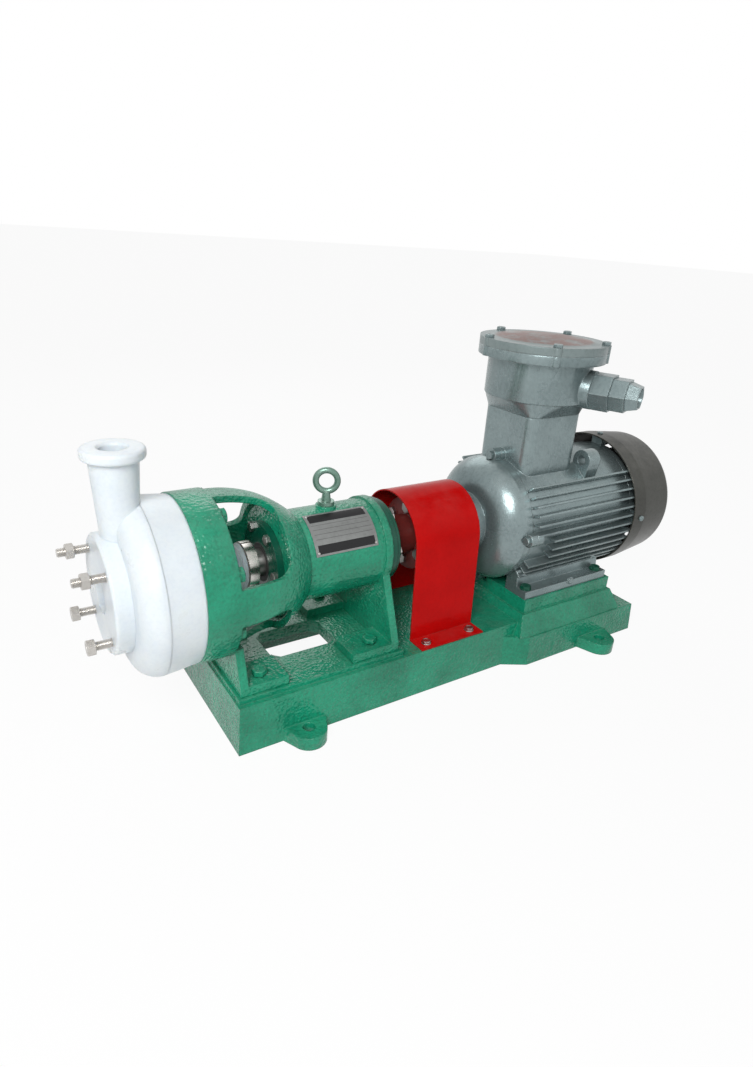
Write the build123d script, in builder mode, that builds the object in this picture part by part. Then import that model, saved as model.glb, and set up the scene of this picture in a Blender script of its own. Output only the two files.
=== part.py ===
from build123d import *
import os
from math import asin, atan2, cos, radians, sin, sqrt, tan

# Acid-resistant centrifugal pump on a common base with its motor, in millimetres.
# X runs along the shaft from the pump head to the motor, Y is across, Z is up.
# The floor is Z = 0 and the shaft line lies in the plane Y = 0.

os.makedirs("parts", exist_ok=True)

# Fits
RUN_PLAY = 0.3  # radial air between a turning piece and a still one
FACE_PLAY = 0.2  # axial air between a turning face and a still one
BOLT_PLAY = 0.5  # radial air of a bolt in its clearance hole
SPIGOT_PLAY = 0.3  # radial air of a located spigot

# Heights
SHAFT_H = 222.0
DECK_H = 73.0
PAD_STEP = 8.0
MOTOR_SEAT_H = 110.0

# Places and lengths along the shaft
SUCTION_X = -470.0
FLANGE_T = 22.0
BULGE_R = 31.0
BAND_LEN = 45.0
RING_LEN = 44.0
LANTERN_LEN = 83.0
HOUSING_LEN = 169.0
COUPLING_REACH = 100.0
MOTOR_REACH = 231.0

# Wet end
FLANGE_R = 78.3
SEAM_R = 118.0
BAND_R = 113.5
SPIGOT_R = 93.0
CAVITY_R = 88.0
CAVITY_LEN = 44.0
WET_WALL = 24.0
SUCTION_BORE_R = 25.0
SUCTION_BORE_LEN = 12.0
EYE_RECESS_R = 31.0
THROAT_R = 20.6
STUD_SIDE = 89.5
STUD_R = 6.0
STUD_DEPTH = 14.0
STUD_OUT_UPPER = 38.0
STUD_OUT_LOWER = 30.0
STUD_NUT_BACK = 28.0
STUD_NUT_FLAT = 19.0
STUD_NUT_T = 10.0

# Discharge neck
NECK_X = -439.5
NECK_TOP_Z = 410.0
NECK_FOOT_Z = 290.0
NECK_FOOT_R = 23.0
NECK_HEAD_R = 29.5
NECK_BORE_R = 16.0
NECK_THROAT_R = 15.0
NECK_THROAT_RISE = 8.0
NECK_THROAT_DEPTH = 16.0
NECK_MOUTH_R = 19.0
LIP_R = 37.6
LIP_T = 14.0
LIP_ROUND = 4.5

# Lantern bracket
RING_R = 115.5
RING_WALL = 12.0
RING_EYE_R = 62.0
CASING_BOLT_PCR = 104.0
CASING_BOLT_R = 6.0
CASING_BOLT_GRIP = 56.0
CASING_BOLT_COUNT = 8
CASING_BOLT_START = 22.5
CASING_BOLT_FLAT_R = 13.0
BELL_SWEEP_R = 175.0
BELL_WALL = 10.0
BELL_LEN = 118.0
ARM_TOP_HALF_ANGLE = 8.5
ARM_SIDE_HALF_ANGLE = 13.0
WINDOW_LEN = 79.0
WINDOW_CORNER = 22.0
HOUSING_R = 67.3
COLLAR_R = 80.0
RIM_R = 70.5
RIM_T = 12.0
CHAMBER_R = 48.0
SHOULDER_R = 41.0
SHOULDER_T = 8.0
FOOT_T = 14.0
FOOT_HALF_W = 101.0
FOOT_GAP_HALF = 44.0
FRONT_FOOT_LEN = 71.0
REAR_FOOT_LEN = 79.0
WEB_T = 12.0
FRONT_WEB_HALF_W = 84.0
FRONT_WEB_DROP = 76.0
REAR_WEB_HALF_W = 62.0
REAR_WEB_DROP = 24.0
FOOT_BOLT_Y = 80.0
FOOT_BOLT_R = 6.0
FOOT_BOLT_DEPTH = 26.0

# Pump bearings and their covers
BEARING_R = 45.0
BEARING_T = 23.0
RACE_T = 7.5
BALL_COUNT = 8
COVER_SPIGOT_T = 9.0
COVER_SPIGOT_R = 37.5
FRONT_COVER_R = 58.0
FRONT_COVER_T = 10.0
REAR_COVER_R = 67.0
REAR_COVER_T = 18.5
COVER_BOLT_PCR = 51.5
COVER_BOLT_R = 4.0
COVER_BOLT_DEPTH = 18.0
COVER_BOLT_COUNT = 6
LIP_SEAL_R = 28.0
LIP_SEAL_T = 7.0
NUT_SPACE_R = 33.0

# Pump shaft and what turns with it
SLEEVE_R = 20.0
SHAFT_TIP_R = 12.0
SHAFT_WET_R = 17.5
SHAFT_MID_R = 25.0
SHAFT_TAIL_R = 18.0
SHAFT_DRIVE_R = 16.0
LOCKNUT_R = 29.0
LOCKNUT_T = 8.0
IMPELLER_R = 80.0
IMPELLER_W = 36.0
IMPELLER_PLAY = 4.0
IMPELLER_EYE_R = 28.0
SHROUD_T = 5.0
VANE_COUNT = 6
VANE_T = 5.0
HUB_R = 23.0
CAP_R = 17.0
CAP_T = 13.0

# Shaft seal
GLAND_R = 56.0
GLAND_T = 14.0
GLAND_BOLT_PCR = 47.0
GLAND_BOLT_R = 3.0
SEAT_R = 36.0
SEAT_T = 14.0
SEAT_SEAT_T = 10.0
SEAT_BORE_R = 22.0
BELLOWS_R = 33.0
BELLOWS_LEN = 38.0
BELLOWS_WAVES = 4
CLAMP_R = 34.0
CLAMP_T = 14.0

# Coupling and guard
COUPLING_R = 58.0
COUPLING_FLANGE_T = 28.0
COUPLING_HUB_R = 31.0
COUPLING_HUB_T = 32.0
COUPLING_GAP = 4.0
PIN_PCR = 43.0
PIN_R = 5.0
BUSH_R = 9.0
PIN_HEAD_T = 5.0
PIN_COUNT = 6
KEY_W = 8.0
KEY_H = 3.0
GUARD_SETBACK = 39.0
GUARD_LEN = 122.0
GUARD_R = 74.0
GUARD_T = 2.0
GUARD_LEG_Y = 79.0
GUARD_FOOT_Y = 111.0
GUARD_BOLT_Y = 96.0
GUARD_BOLT_IN = 18.0
GUARD_BOLT_R = 4.0

# Motor
SHIELD_R = 105.5
SHIELD_RIM_T = 14.0
SHIELD_DEPTH = 37.0
SHIELD_BOSS_R = 50.0
SHIELD_BOSS_T = 12.0
EAR_PCR = 110.0
EAR_R = 11.0
EAR_BOLT_R = 4.0
FRAME_R = 104.0
FRAME_BORE_R = 92.0
FRAME_LEN = 238.0
FIN_R = 119.0
FIN_T = 3.4
FIN_SPAN = 84.0
FIN_COUNT = 12
FIN_START = 2.0
NDE_SHIELD_T = 12.0
FAN_COVER_R = 122.0
FAN_COVER_END_R = 115.0
FAN_COVER_LEN = 108.0
FAN_COVER_LAP = 7.0
FAN_COVER_STRAIGHT = 28.0
FAN_COVER_T = 2.5
FAN_COVER_ROUND = 14.0
GRILLE_RINGS = 5
GRILLE_PITCH = 16.0
GRILLE_SLOT = 8.0
GRILLE_SPOKE = 9.0
MOTOR_FOOT_HALF_W = 109.0
MOTOR_FOOT_T = 14.0
MOTOR_FOOT_LEN = 196.0
MOTOR_FOOT_IN = 3.0
MOTOR_BOLT_Y = 97.0
MOTOR_BOLT_IN = 10.0
MOTOR_BOLT_PITCH = 171.0
MOTOR_BOLT_R = 5.0
STATOR_R = 92.0
STATOR_BORE_R = 60.0
STATOR_LEN = 150.0
STATOR_IN = 32.0
WINDING_T = 20.0
AIR_GAP = 0.5
MOTOR_SHAFT_R = 14.0
MOTOR_CORE_R = 20.0
MOTOR_TAIL_R = 12.0
MOTOR_JOURNAL_R = 15.0
MOTOR_BEARING_R = 31.0
MOTOR_BEARING_T = 16.0
MOTOR_RACE_T = 5.0
FAN_R = 98.0
FAN_HUB_R = 24.0
FAN_W = 42.0
FAN_BLADE_T = 3.0
FAN_BLADES = 7
EAR_LEN = 12.0
FIN_PAD_LEN = 40.0
NDE_BOLT_PCR = 98.0
COVER_EAR_W = 22.0
COVER_EAR_IN = 5.0
FAN_X = 432.0
FAN_SCREW_X = 418.0
FAN_SCREW_R = 3.0
FAN_SCREW_LEN = 12.0
LIFT_LUG_X = 305.0
LIFT_LUG_Y = 62.0
LIFT_LUG_Z = 324.0
LIFT_LUG_R = 18.0
LIFT_LUG_T = 26.0
LIFT_HOLE_R = 8.0

# Terminal box
TERMINAL_X = 235.5
BOX_NECK_SIDE = 116.0
BOX_NECK_CORNER = 18.0
BOX_SEAM_Z = 404.0
BOX_ROUND_Z = 428.0
BOX_FLANGE_Z = 490.0
BOX_FLANGE_T = 15.0
BOX_R = 84.0
BOX_WALL = 9.0
LEAD_HOLE_R = 14.0
LEAD_OFFSET = 34.0
BOX_FLOOR_T = 12.0
LID_R = 101.5
LID_PLATE_T = 12.5
DOME_R = 84.0
DOME_H = 6.5
LID_BOLT_PCR = 96.5
LID_BOLT_R = 4.0
LID_BOLT_COUNT = 5
LID_EAR_R = 8.0
LID_BOLT_START = 21.0
BOARD_OFFSET = 16.0
BOARD_LEN = 72.0
BOARD_W = 44.0
BOARD_T = 12.0
POST_R = 3.0
POST_LEN = 14.0
POST_PITCH_X = 24.0
POST_PITCH_Y = 22.0

# Cable gland
GLAND_AXIS_Z = 450.0
GLAND_TURN = 66.0
GLAND_BOSS_R = 30.0
GLAND_BOSS_END = 94.0
GLAND_BODY_FLAT = 54.0
GLAND_BODY_LEN = 30.0
GLAND_NUT_FLAT = 48.0
GLAND_NUT_LEN = 24.0
GLAND_CAP_FLAT = 42.0
GLAND_CAP_LEN = 18.0
GLAND_BORE_R = 14.0
GLAND_SEAL_BORE_R = 8.0
GLAND_SEAL_LEN = 20.0

# Base
BASE_OVERHANG = 10.0
BASE_LEN = 772.0
BASE_HALF_W = 116.5
BASE_MOTOR_HALF_W = 138.5
WIDEN_X = 130.5
WIDEN_LEN = 40.0
BASE_WALL = 12.0
BASE_DRAFT = 3.0
BLOCK_H = 52.0
TIER_H = 24.0
TIER_HALF_W = 112.0
TIER_X = 172.0
TIER_LEN = 206.0
LUG_H = 20.0
LUG_R = 26.0
LUG_ROOT_HALF = 38.0
LUG_HOLE_R = 9.0
PUMP_LUG_X = -239.0
PUMP_LUG_Y = 128.0
MOTOR_LUG_X = 327.0
MOTOR_LUG_Y = 156.0
DECK_WINDOW_IN = 87.0
DECK_WINDOW_LEN = 106.0
DECK_WINDOW_W = 72.0
DECK_WINDOW_CORNER = 12.0
PAD_HALF_W = 105.0
PAD_IN = 6.0
PAD_OUT = 8.0

# Eye bolt and plate
EYE_BACK = 77.0
EYE_R = 15.5
EYE_WIRE_R = 4.6
EYE_RISE = 36.0
EYE_COLLAR_R = 12.0
EYE_COLLAR_T = 6.0
EYE_BOSS_R = 15.0
EYE_BOSS_H = 4.0
EYE_SHANK_R = 5.0
EYE_SHANK_LEN = 14.0
EYE_TURN = 28.0
PLATE_IN = 45.0
PLATE_LEN = 100.0
PLATE_LOW_ANGLE = 20.0
PLATE_HIGH_ANGLE = 76.0
PLATE_T = 1.0
PLATE_AIR = 0.2
RIVET_R = 2.0
RIVET_T = 1.2

# Places worked out from the sizes above
SEAM_X = SUCTION_X + FLANGE_T + BULGE_R
RING_X = SEAM_X + BAND_LEN
RING_BACK_X = RING_X + RING_LEN
SPIGOT_END_X = RING_BACK_X - RING_WALL
HOUSING_X = RING_BACK_X + LANTERN_LEN
HOUSING_END_X = HOUSING_X + HOUSING_LEN
COUPLING_X = HOUSING_END_X + COUPLING_REACH
MOTOR_X = HOUSING_END_X + MOTOR_REACH
CAVITY_X = SUCTION_X + WET_WALL
CAVITY_END_X = CAVITY_X + CAVITY_LEN
IMPELLER_X = CAVITY_X + IMPELLER_PLAY
IMPELLER_END_X = IMPELLER_X + IMPELLER_W
FRONT_BEARING_X = HOUSING_X + COVER_SPIGOT_T
FRONT_BEARING_END_X = FRONT_BEARING_X + BEARING_T
REAR_BEARING_END_X = HOUSING_END_X - RIM_T
REAR_BEARING_X = REAR_BEARING_END_X - BEARING_T
FRAME_X = MOTOR_X + SHIELD_RIM_T
FRAME_END_X = FRAME_X + FRAME_LEN
FAN_COVER_X = FRAME_END_X - FAN_COVER_LAP
FAN_COVER_END_X = FAN_COVER_X + FAN_COVER_LEN
STATOR_X = FRAME_X + STATOR_IN
STATOR_END_X = STATOR_X + STATOR_LEN
SHIELD_FACE_X = MOTOR_X - SHIELD_DEPTH
SHIELD_TIP_X = SHIELD_FACE_X - SHIELD_BOSS_T
DE_BEARING_END_X = MOTOR_X - 11.0
DE_BEARING_X = DE_BEARING_END_X - MOTOR_BEARING_T
NDE_BEARING_END_X = FRAME_END_X + MOTOR_BEARING_T
BASE_X = RING_BACK_X - BASE_OVERHANG
BASE_END_X = BASE_X + BASE_LEN
WIDENED_X = WIDEN_X + WIDEN_LEN
PAD_H = DECK_H + PAD_STEP
FOOT_TOP = PAD_H + FOOT_T
FRONT_FOOT_X = RING_BACK_X
REAR_FOOT_X = HOUSING_END_X - REAR_FOOT_LEN
FRONT_BOLT_X = FRONT_FOOT_X + FRONT_FOOT_LEN / 2
REAR_BOLT_X = REAR_FOOT_X + REAR_FOOT_LEN / 2
MOTOR_FOOT_X = FRAME_X + MOTOR_FOOT_IN
MOTOR_BOLT_X = MOTOR_FOOT_X + MOTOR_BOLT_IN
GUARD_X = HOUSING_END_X + GUARD_SETBACK
EYE_X = HOUSING_END_X - EYE_BACK
GLAND_FACE_X = SPIGOT_END_X + GLAND_T
SEAT_X = GLAND_FACE_X - SEAT_SEAT_T
SEAT_FACE_X = SEAT_X + SEAT_T
BELLOWS_X = SEAT_FACE_X + FACE_PLAY
BELLOWS_END_X = BELLOWS_X + BELLOWS_LEN
SLEEVE_END_X = BELLOWS_END_X + CLAMP_T + 2.0
LID_SEAT_Z = BOX_FLANGE_Z + BOX_FLANGE_T

SHAFT_PLANE = Plane(origin=(0, 0, SHAFT_H), x_dir=(1, 0, 0), z_dir=(0, -1, 0))
SHAFT_AXIS = Axis((0, 0, SHAFT_H), (1, 0, 0))
TERMINAL_AXIS = Axis((TERMINAL_X, 0, 0), (0, 0, 1))
gland_along = (cos(radians(GLAND_TURN)), -sin(radians(GLAND_TURN)), 0)
GLAND_PLANE = Plane(origin=(TERMINAL_X, 0, GLAND_AXIS_Z), x_dir=(0, 0, 1), z_dir=gland_along)
FOOT_BOLT_PLACES = [(x, y) for x in (FRONT_BOLT_X, REAR_BOLT_X) for y in (-FOOT_BOLT_Y, FOOT_BOLT_Y)]
GUARD_BOLT_PLACES = [
    (x, y)
    for x in (GUARD_X + GUARD_BOLT_IN, GUARD_X + GUARD_LEN - GUARD_BOLT_IN)
    for y in (-GUARD_BOLT_Y, GUARD_BOLT_Y)
]
MOTOR_BOLT_PLACES = [
    (x, y)
    for x in (MOTOR_BOLT_X, MOTOR_BOLT_X + MOTOR_BOLT_PITCH)
    for y in (-MOTOR_BOLT_Y, MOTOR_BOLT_Y)
]
STUD_PLACES = [(y, z) for y in (-STUD_SIDE / 2, STUD_SIDE / 2) for z in (-STUD_SIDE / 2, STUD_SIDE / 2)]


def across(x):
    """Plane square to the shaft at a place along it: local x is Y, local y is up from the shaft."""
    return Plane(origin=(x, 0, SHAFT_H), x_dir=(0, 1, 0), z_dir=(1, 0, 0))


def ring(x0, x1, inner, outer):
    """Corners, as (place along shaft, radius), of a plain turned ring."""
    return ((x0, inner), (x1, inner), (x1, outer), (x0, outer))


def base_outline(height):
    """Corners of the drafted base block at a height above the floor."""
    inset = height * tan(radians(BASE_DRAFT))
    shift = inset * tan(atan2(BASE_MOTOR_HALF_W - BASE_HALF_W, WIDEN_LEN) / 2)
    near_half = BASE_HALF_W - inset
    far_half = BASE_MOTOR_HALF_W - inset
    return (
        (BASE_X + inset, -near_half),
        (WIDEN_X + shift, -near_half),
        (WIDENED_X + shift, -far_half),
        (BASE_END_X - inset, -far_half),
        (BASE_END_X - inset, far_half),
        (WIDENED_X + shift, far_half),
        (WIDEN_X + shift, near_half),
        (BASE_X + inset, near_half),
    )


def keep(part, label):
    """Names a finished piece and writes it out."""
    part.label = label
    export_step(part, f"parts/{label}.step")


# Base: cast, hollow below, with a pad for the pump and a stepped pedestal for the motor
tier_mid_x = TIER_X + TIER_LEN / 2
block_inset = BLOCK_H * tan(radians(BASE_DRAFT))
pad_end_x = HOUSING_END_X + PAD_OUT
with BuildPart() as base_plate:
    with BuildSketch(Plane.XY):
        Polygon(*base_outline(0))
    with BuildSketch(Plane.XY.offset(BLOCK_H)):
        Polygon(*base_outline(BLOCK_H))
    loft()
    with BuildSketch(Plane.XY.offset(BLOCK_H)):
        with Locations(((BASE_X + block_inset + WIDENED_X) / 2, 0)):
            Rectangle(WIDENED_X - BASE_X - block_inset, 2 * (BASE_HALF_W - block_inset))
    extrude(amount=DECK_H - BLOCK_H, taper=BASE_DRAFT)
    with BuildSketch(Plane.XY.offset(DECK_H)):
        with Locations(((BASE_X + PAD_IN + pad_end_x) / 2, 0)):
            Rectangle(pad_end_x - BASE_X - PAD_IN, 2 * PAD_HALF_W)
    extrude(amount=PAD_STEP)
    # Stepped pedestal under the motor
    with BuildSketch(Plane.XY.offset(BLOCK_H)):
        with Locations((tier_mid_x, 0)):
            Rectangle(TIER_LEN + 40.0, 2 * (TIER_HALF_W + 20.0))
    with BuildSketch(Plane.XY.offset(MOTOR_SEAT_H - TIER_H)):
        with Locations((tier_mid_x, 0)):
            Rectangle(TIER_LEN + 12.0, 2 * (TIER_HALF_W + 4.0))
    loft()
    with BuildSketch(Plane.XY.offset(MOTOR_SEAT_H - TIER_H)):
        with Locations((tier_mid_x, 0)):
            Rectangle(TIER_LEN, 2 * TIER_HALF_W)
    extrude(amount=TIER_H)
    # Holding-down lugs
    for lug_x, lug_y, wall_y in (
        (PUMP_LUG_X, PUMP_LUG_Y, BASE_HALF_W),
        (MOTOR_LUG_X, MOTOR_LUG_Y, BASE_MOTOR_HALF_W),
    ):
        for side in (-1, 1):
            with BuildSketch(Plane.XY):
                with Locations((lug_x, side * lug_y)):
                    Circle(LUG_R)
                Polygon(
                    (lug_x - LUG_ROOT_HALF, side * (wall_y - BASE_WALL + 2.0)),
                    (lug_x + LUG_ROOT_HALF, side * (wall_y - BASE_WALL + 2.0)),
                    (lug_x + LUG_R * 0.96, side * (lug_y + LUG_R * 0.28)),
                    (lug_x - LUG_R * 0.96, side * (lug_y + LUG_R * 0.28)),
                )
            extrude(amount=LUG_H)
    for lug_x, lug_y in ((PUMP_LUG_X, PUMP_LUG_Y), (MOTOR_LUG_X, MOTOR_LUG_Y)):
        with Locations((lug_x, lug_y, LUG_H), (lug_x, -lug_y, LUG_H)):
            Hole(LUG_HOLE_R)
    # Hollow underside, with a cross wall left between the pump and the motor
    with BuildSketch(Plane.XY):
        with Locations(((BASE_X + WIDEN_X) / 2, 0)):
            Rectangle(WIDEN_X - BASE_X - 2 * BASE_WALL, 2 * (BASE_HALF_W - BASE_WALL))
    extrude(amount=DECK_H - BASE_WALL, taper=BASE_DRAFT, mode=Mode.SUBTRACT)
    with BuildSketch(Plane.XY):
        with Locations(((WIDEN_X + BASE_END_X) / 2, 0)):
            Rectangle(BASE_END_X - WIDEN_X - 2 * BASE_WALL, 2 * (BASE_HALF_W - BASE_WALL))
    extrude(amount=BLOCK_H - BASE_WALL, taper=BASE_DRAFT, mode=Mode.SUBTRACT)
    with BuildSketch(Plane.XY):
        with Locations((tier_mid_x, 0)):
            Rectangle(TIER_LEN - 2 * BASE_WALL, 2 * (TIER_HALF_W - 2 * BASE_WALL - MOTOR_BOLT_R))
    extrude(amount=MOTOR_SEAT_H - BASE_WALL, taper=BASE_DRAFT, mode=Mode.SUBTRACT)
    # Opening in the deck between the pump feet
    with BuildSketch(Plane.XY.offset(DECK_H - 2 * BASE_WALL)):
        with Locations((BASE_X + DECK_WINDOW_IN + DECK_WINDOW_LEN / 2, 0)):
            Rectangle(DECK_WINDOW_LEN, DECK_WINDOW_W)
        chamfer(vertices(), length=DECK_WINDOW_CORNER)
    extrude(amount=2 * BASE_WALL + PAD_STEP, mode=Mode.SUBTRACT)
    # Relief in the pedestal's edge for the lowest bolt ear of the motor
    with BuildSketch(Plane.XY.offset(MOTOR_SEAT_H)):
        with Locations((TIER_X, 0)):
            Rectangle(2 * (FRAME_X + EAR_LEN + 2.0 - TIER_X), 2 * EAR_R + 6.0)
    extrude(amount=-EAR_R, mode=Mode.SUBTRACT)
    # Tapped holes for the pump feet, the guard and the motor feet
    with BuildSketch(Plane.XY.offset(PAD_H)):
        with Locations(*FOOT_BOLT_PLACES):
            Circle(FOOT_BOLT_R)
    extrude(amount=-FOOT_BOLT_DEPTH, mode=Mode.SUBTRACT)
    with BuildSketch(Plane.XY.offset(DECK_H)):
        with Locations(*GUARD_BOLT_PLACES):
            Circle(GUARD_BOLT_R)
    extrude(amount=-BASE_WALL, mode=Mode.SUBTRACT)
    with BuildSketch(Plane.XY.offset(MOTOR_SEAT_H)):
        with Locations(*MOTOR_BOLT_PLACES):
            Circle(MOTOR_BOLT_R)
    extrude(amount=-FOOT_BOLT_DEPTH, mode=Mode.SUBTRACT)
keep(base_plate.part, "base_plate")

# Lantern bracket: casing ring, bell of four arms, bearing housing and two feet, one casting
bell_centre_y = RING_R - BELL_SWEEP_R
bell_inner_r = BELL_SWEEP_R - BELL_WALL
bell_end_x = RING_BACK_X + BELL_LEN
bell_mid = BELL_LEN * 0.55
window_half = (90.0 - ARM_TOP_HALF_ANGLE - ARM_SIDE_HALF_ANGLE) / 2
window_turn = ARM_SIDE_HALF_ANGLE + window_half
with BuildPart() as lantern_bracket:
    with BuildSketch(SHAFT_PLANE):
        Polygon(
            (RING_X, SPIGOT_R + SPIGOT_PLAY),
            (RING_X, RING_R),
            (RING_BACK_X, RING_R),
            (RING_BACK_X, RING_EYE_R),
            (SPIGOT_END_X, RING_EYE_R),
            (SPIGOT_END_X, SPIGOT_R + SPIGOT_PLAY),
        )
        with BuildLine():
            outer = ThreePointArc(
                (RING_BACK_X, RING_R),
                (RING_BACK_X + bell_mid, bell_centre_y + sqrt(BELL_SWEEP_R**2 - bell_mid**2)),
                (bell_end_x, bell_centre_y + sqrt(BELL_SWEEP_R**2 - BELL_LEN**2)),
            )
            inner = ThreePointArc(
                (RING_BACK_X, RING_R - BELL_WALL),
                (RING_BACK_X + bell_mid, bell_centre_y + sqrt(bell_inner_r**2 - bell_mid**2)),
                (bell_end_x, bell_centre_y + sqrt(bell_inner_r**2 - BELL_LEN**2)),
            )
            Line(outer @ 0, inner @ 0)
            Line(outer @ 1, inner @ 1)
        make_face()
        Polygon(*ring(HOUSING_X, HOUSING_END_X, SHOULDER_R, HOUSING_R))
        Polygon(*ring(HOUSING_X, HOUSING_X + RIM_T, SHOULDER_R, COLLAR_R))
        Polygon(*ring(HOUSING_END_X - RIM_T, HOUSING_END_X, SHOULDER_R, RIM_R))
    revolve(axis=SHAFT_AXIS)
    # Hand windows between the arms
    for window_angle in (window_turn, 180.0 - window_turn, 180.0 + window_turn, -window_turn):
        turn = radians(window_angle)
        for reach in (RING_EYE_R - BELL_WALL, RING_R + BELL_WALL):
            middle = (RING_BACK_X + WINDOW_LEN / 2, reach * cos(turn), SHAFT_H + reach * sin(turn))
            with BuildSketch(Plane(origin=middle, x_dir=(1, 0, 0), z_dir=(0, cos(turn), sin(turn)))):
                Rectangle(WINDOW_LEN, 2 * reach * tan(radians(window_half)))
                fillet(vertices().sort_by(Axis.X)[-2:], radius=WINDOW_CORNER)
        loft(mode=Mode.SUBTRACT)
    # Feet with their cross webs
    for foot_x, foot_len, web_x, web_half_w, web_drop in (
        (FRONT_FOOT_X, FRONT_FOOT_LEN, FRONT_FOOT_X, FRONT_WEB_HALF_W, FRONT_WEB_DROP),
        (REAR_FOOT_X, REAR_FOOT_LEN, HOUSING_END_X - WEB_T, REAR_WEB_HALF_W, REAR_WEB_DROP),
    ):
        with BuildSketch(Plane.XY.offset(PAD_H)):
            for side in (-1, 1):
                with Locations((foot_x + foot_len / 2, side * (FOOT_HALF_W + FOOT_GAP_HALF) / 2)):
                    Rectangle(foot_len, FOOT_HALF_W - FOOT_GAP_HALF)
        extrude(amount=FOOT_T)
        with BuildSketch(across(web_x)):
            Polygon(
                (-FOOT_HALF_W, PAD_H - SHAFT_H),
                (FOOT_HALF_W, PAD_H - SHAFT_H),
                (FOOT_HALF_W, FOOT_TOP - SHAFT_H),
                (web_half_w, -web_drop),
                (-web_half_w, -web_drop),
                (-FOOT_HALF_W, FOOT_TOP - SHAFT_H),
            )
        extrude(amount=WEB_T)
    # Bearing bores, shoulders and the chamber between them
    with BuildSketch(SHAFT_PLANE):
        Polygon(*ring(HOUSING_X, HOUSING_END_X, 0, SHOULDER_R))
        Polygon(*ring(HOUSING_X, FRONT_BEARING_END_X, 0, BEARING_R))
        Polygon(*ring(REAR_BEARING_X, HOUSING_END_X, 0, BEARING_R))
        Polygon(*ring(FRONT_BEARING_END_X + SHOULDER_T, REAR_BEARING_X - SHOULDER_T, 0, CHAMBER_R))
    revolve(axis=SHAFT_AXIS, mode=Mode.SUBTRACT)
    # Casing bolt holes, with flats for the heads where the front web passes them
    with BuildSketch(across(RING_X)):
        with PolarLocations(CASING_BOLT_PCR, CASING_BOLT_COUNT, start_angle=CASING_BOLT_START):
            Circle(CASING_BOLT_R + BOLT_PLAY)
    extrude(amount=RING_LEN, mode=Mode.SUBTRACT)
    with BuildSketch(across(RING_BACK_X)):
        with PolarLocations(CASING_BOLT_PCR, CASING_BOLT_COUNT, start_angle=CASING_BOLT_START):
            Circle(CASING_BOLT_FLAT_R)
    extrude(amount=2 * WEB_T, mode=Mode.SUBTRACT)
    # Tapped holes for the bearing covers
    for face_x, depth in ((HOUSING_X, COVER_BOLT_DEPTH), (HOUSING_END_X, -COVER_BOLT_DEPTH)):
        with BuildSketch(across(face_x)):
            with PolarLocations(COVER_BOLT_PCR, COVER_BOLT_COUNT):
                Circle(COVER_BOLT_R)
        extrude(amount=depth, mode=Mode.SUBTRACT)
    # Holes in the feet
    with BuildSketch(Plane.XY.offset(PAD_H)):
        with Locations(*FOOT_BOLT_PLACES):
            Circle(FOOT_BOLT_R + BOLT_PLAY)
    extrude(amount=FOOT_T, mode=Mode.SUBTRACT)
    # Boss for the eye bolt
    with BuildSketch(Plane.XY.offset(SHAFT_H + CHAMBER_R + 6.0)):
        with Locations((EYE_X, 0)):
            Circle(EYE_BOSS_R)
    extrude(amount=HOUSING_R - CHAMBER_R - 6.0 + EYE_BOSS_H)
    with Locations((EYE_X, 0, SHAFT_H + HOUSING_R + EYE_BOSS_H)):
        Hole(EYE_SHANK_R, depth=EYE_SHANK_LEN)
keep(lantern_bracket.part, "lantern_bracket")

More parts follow.
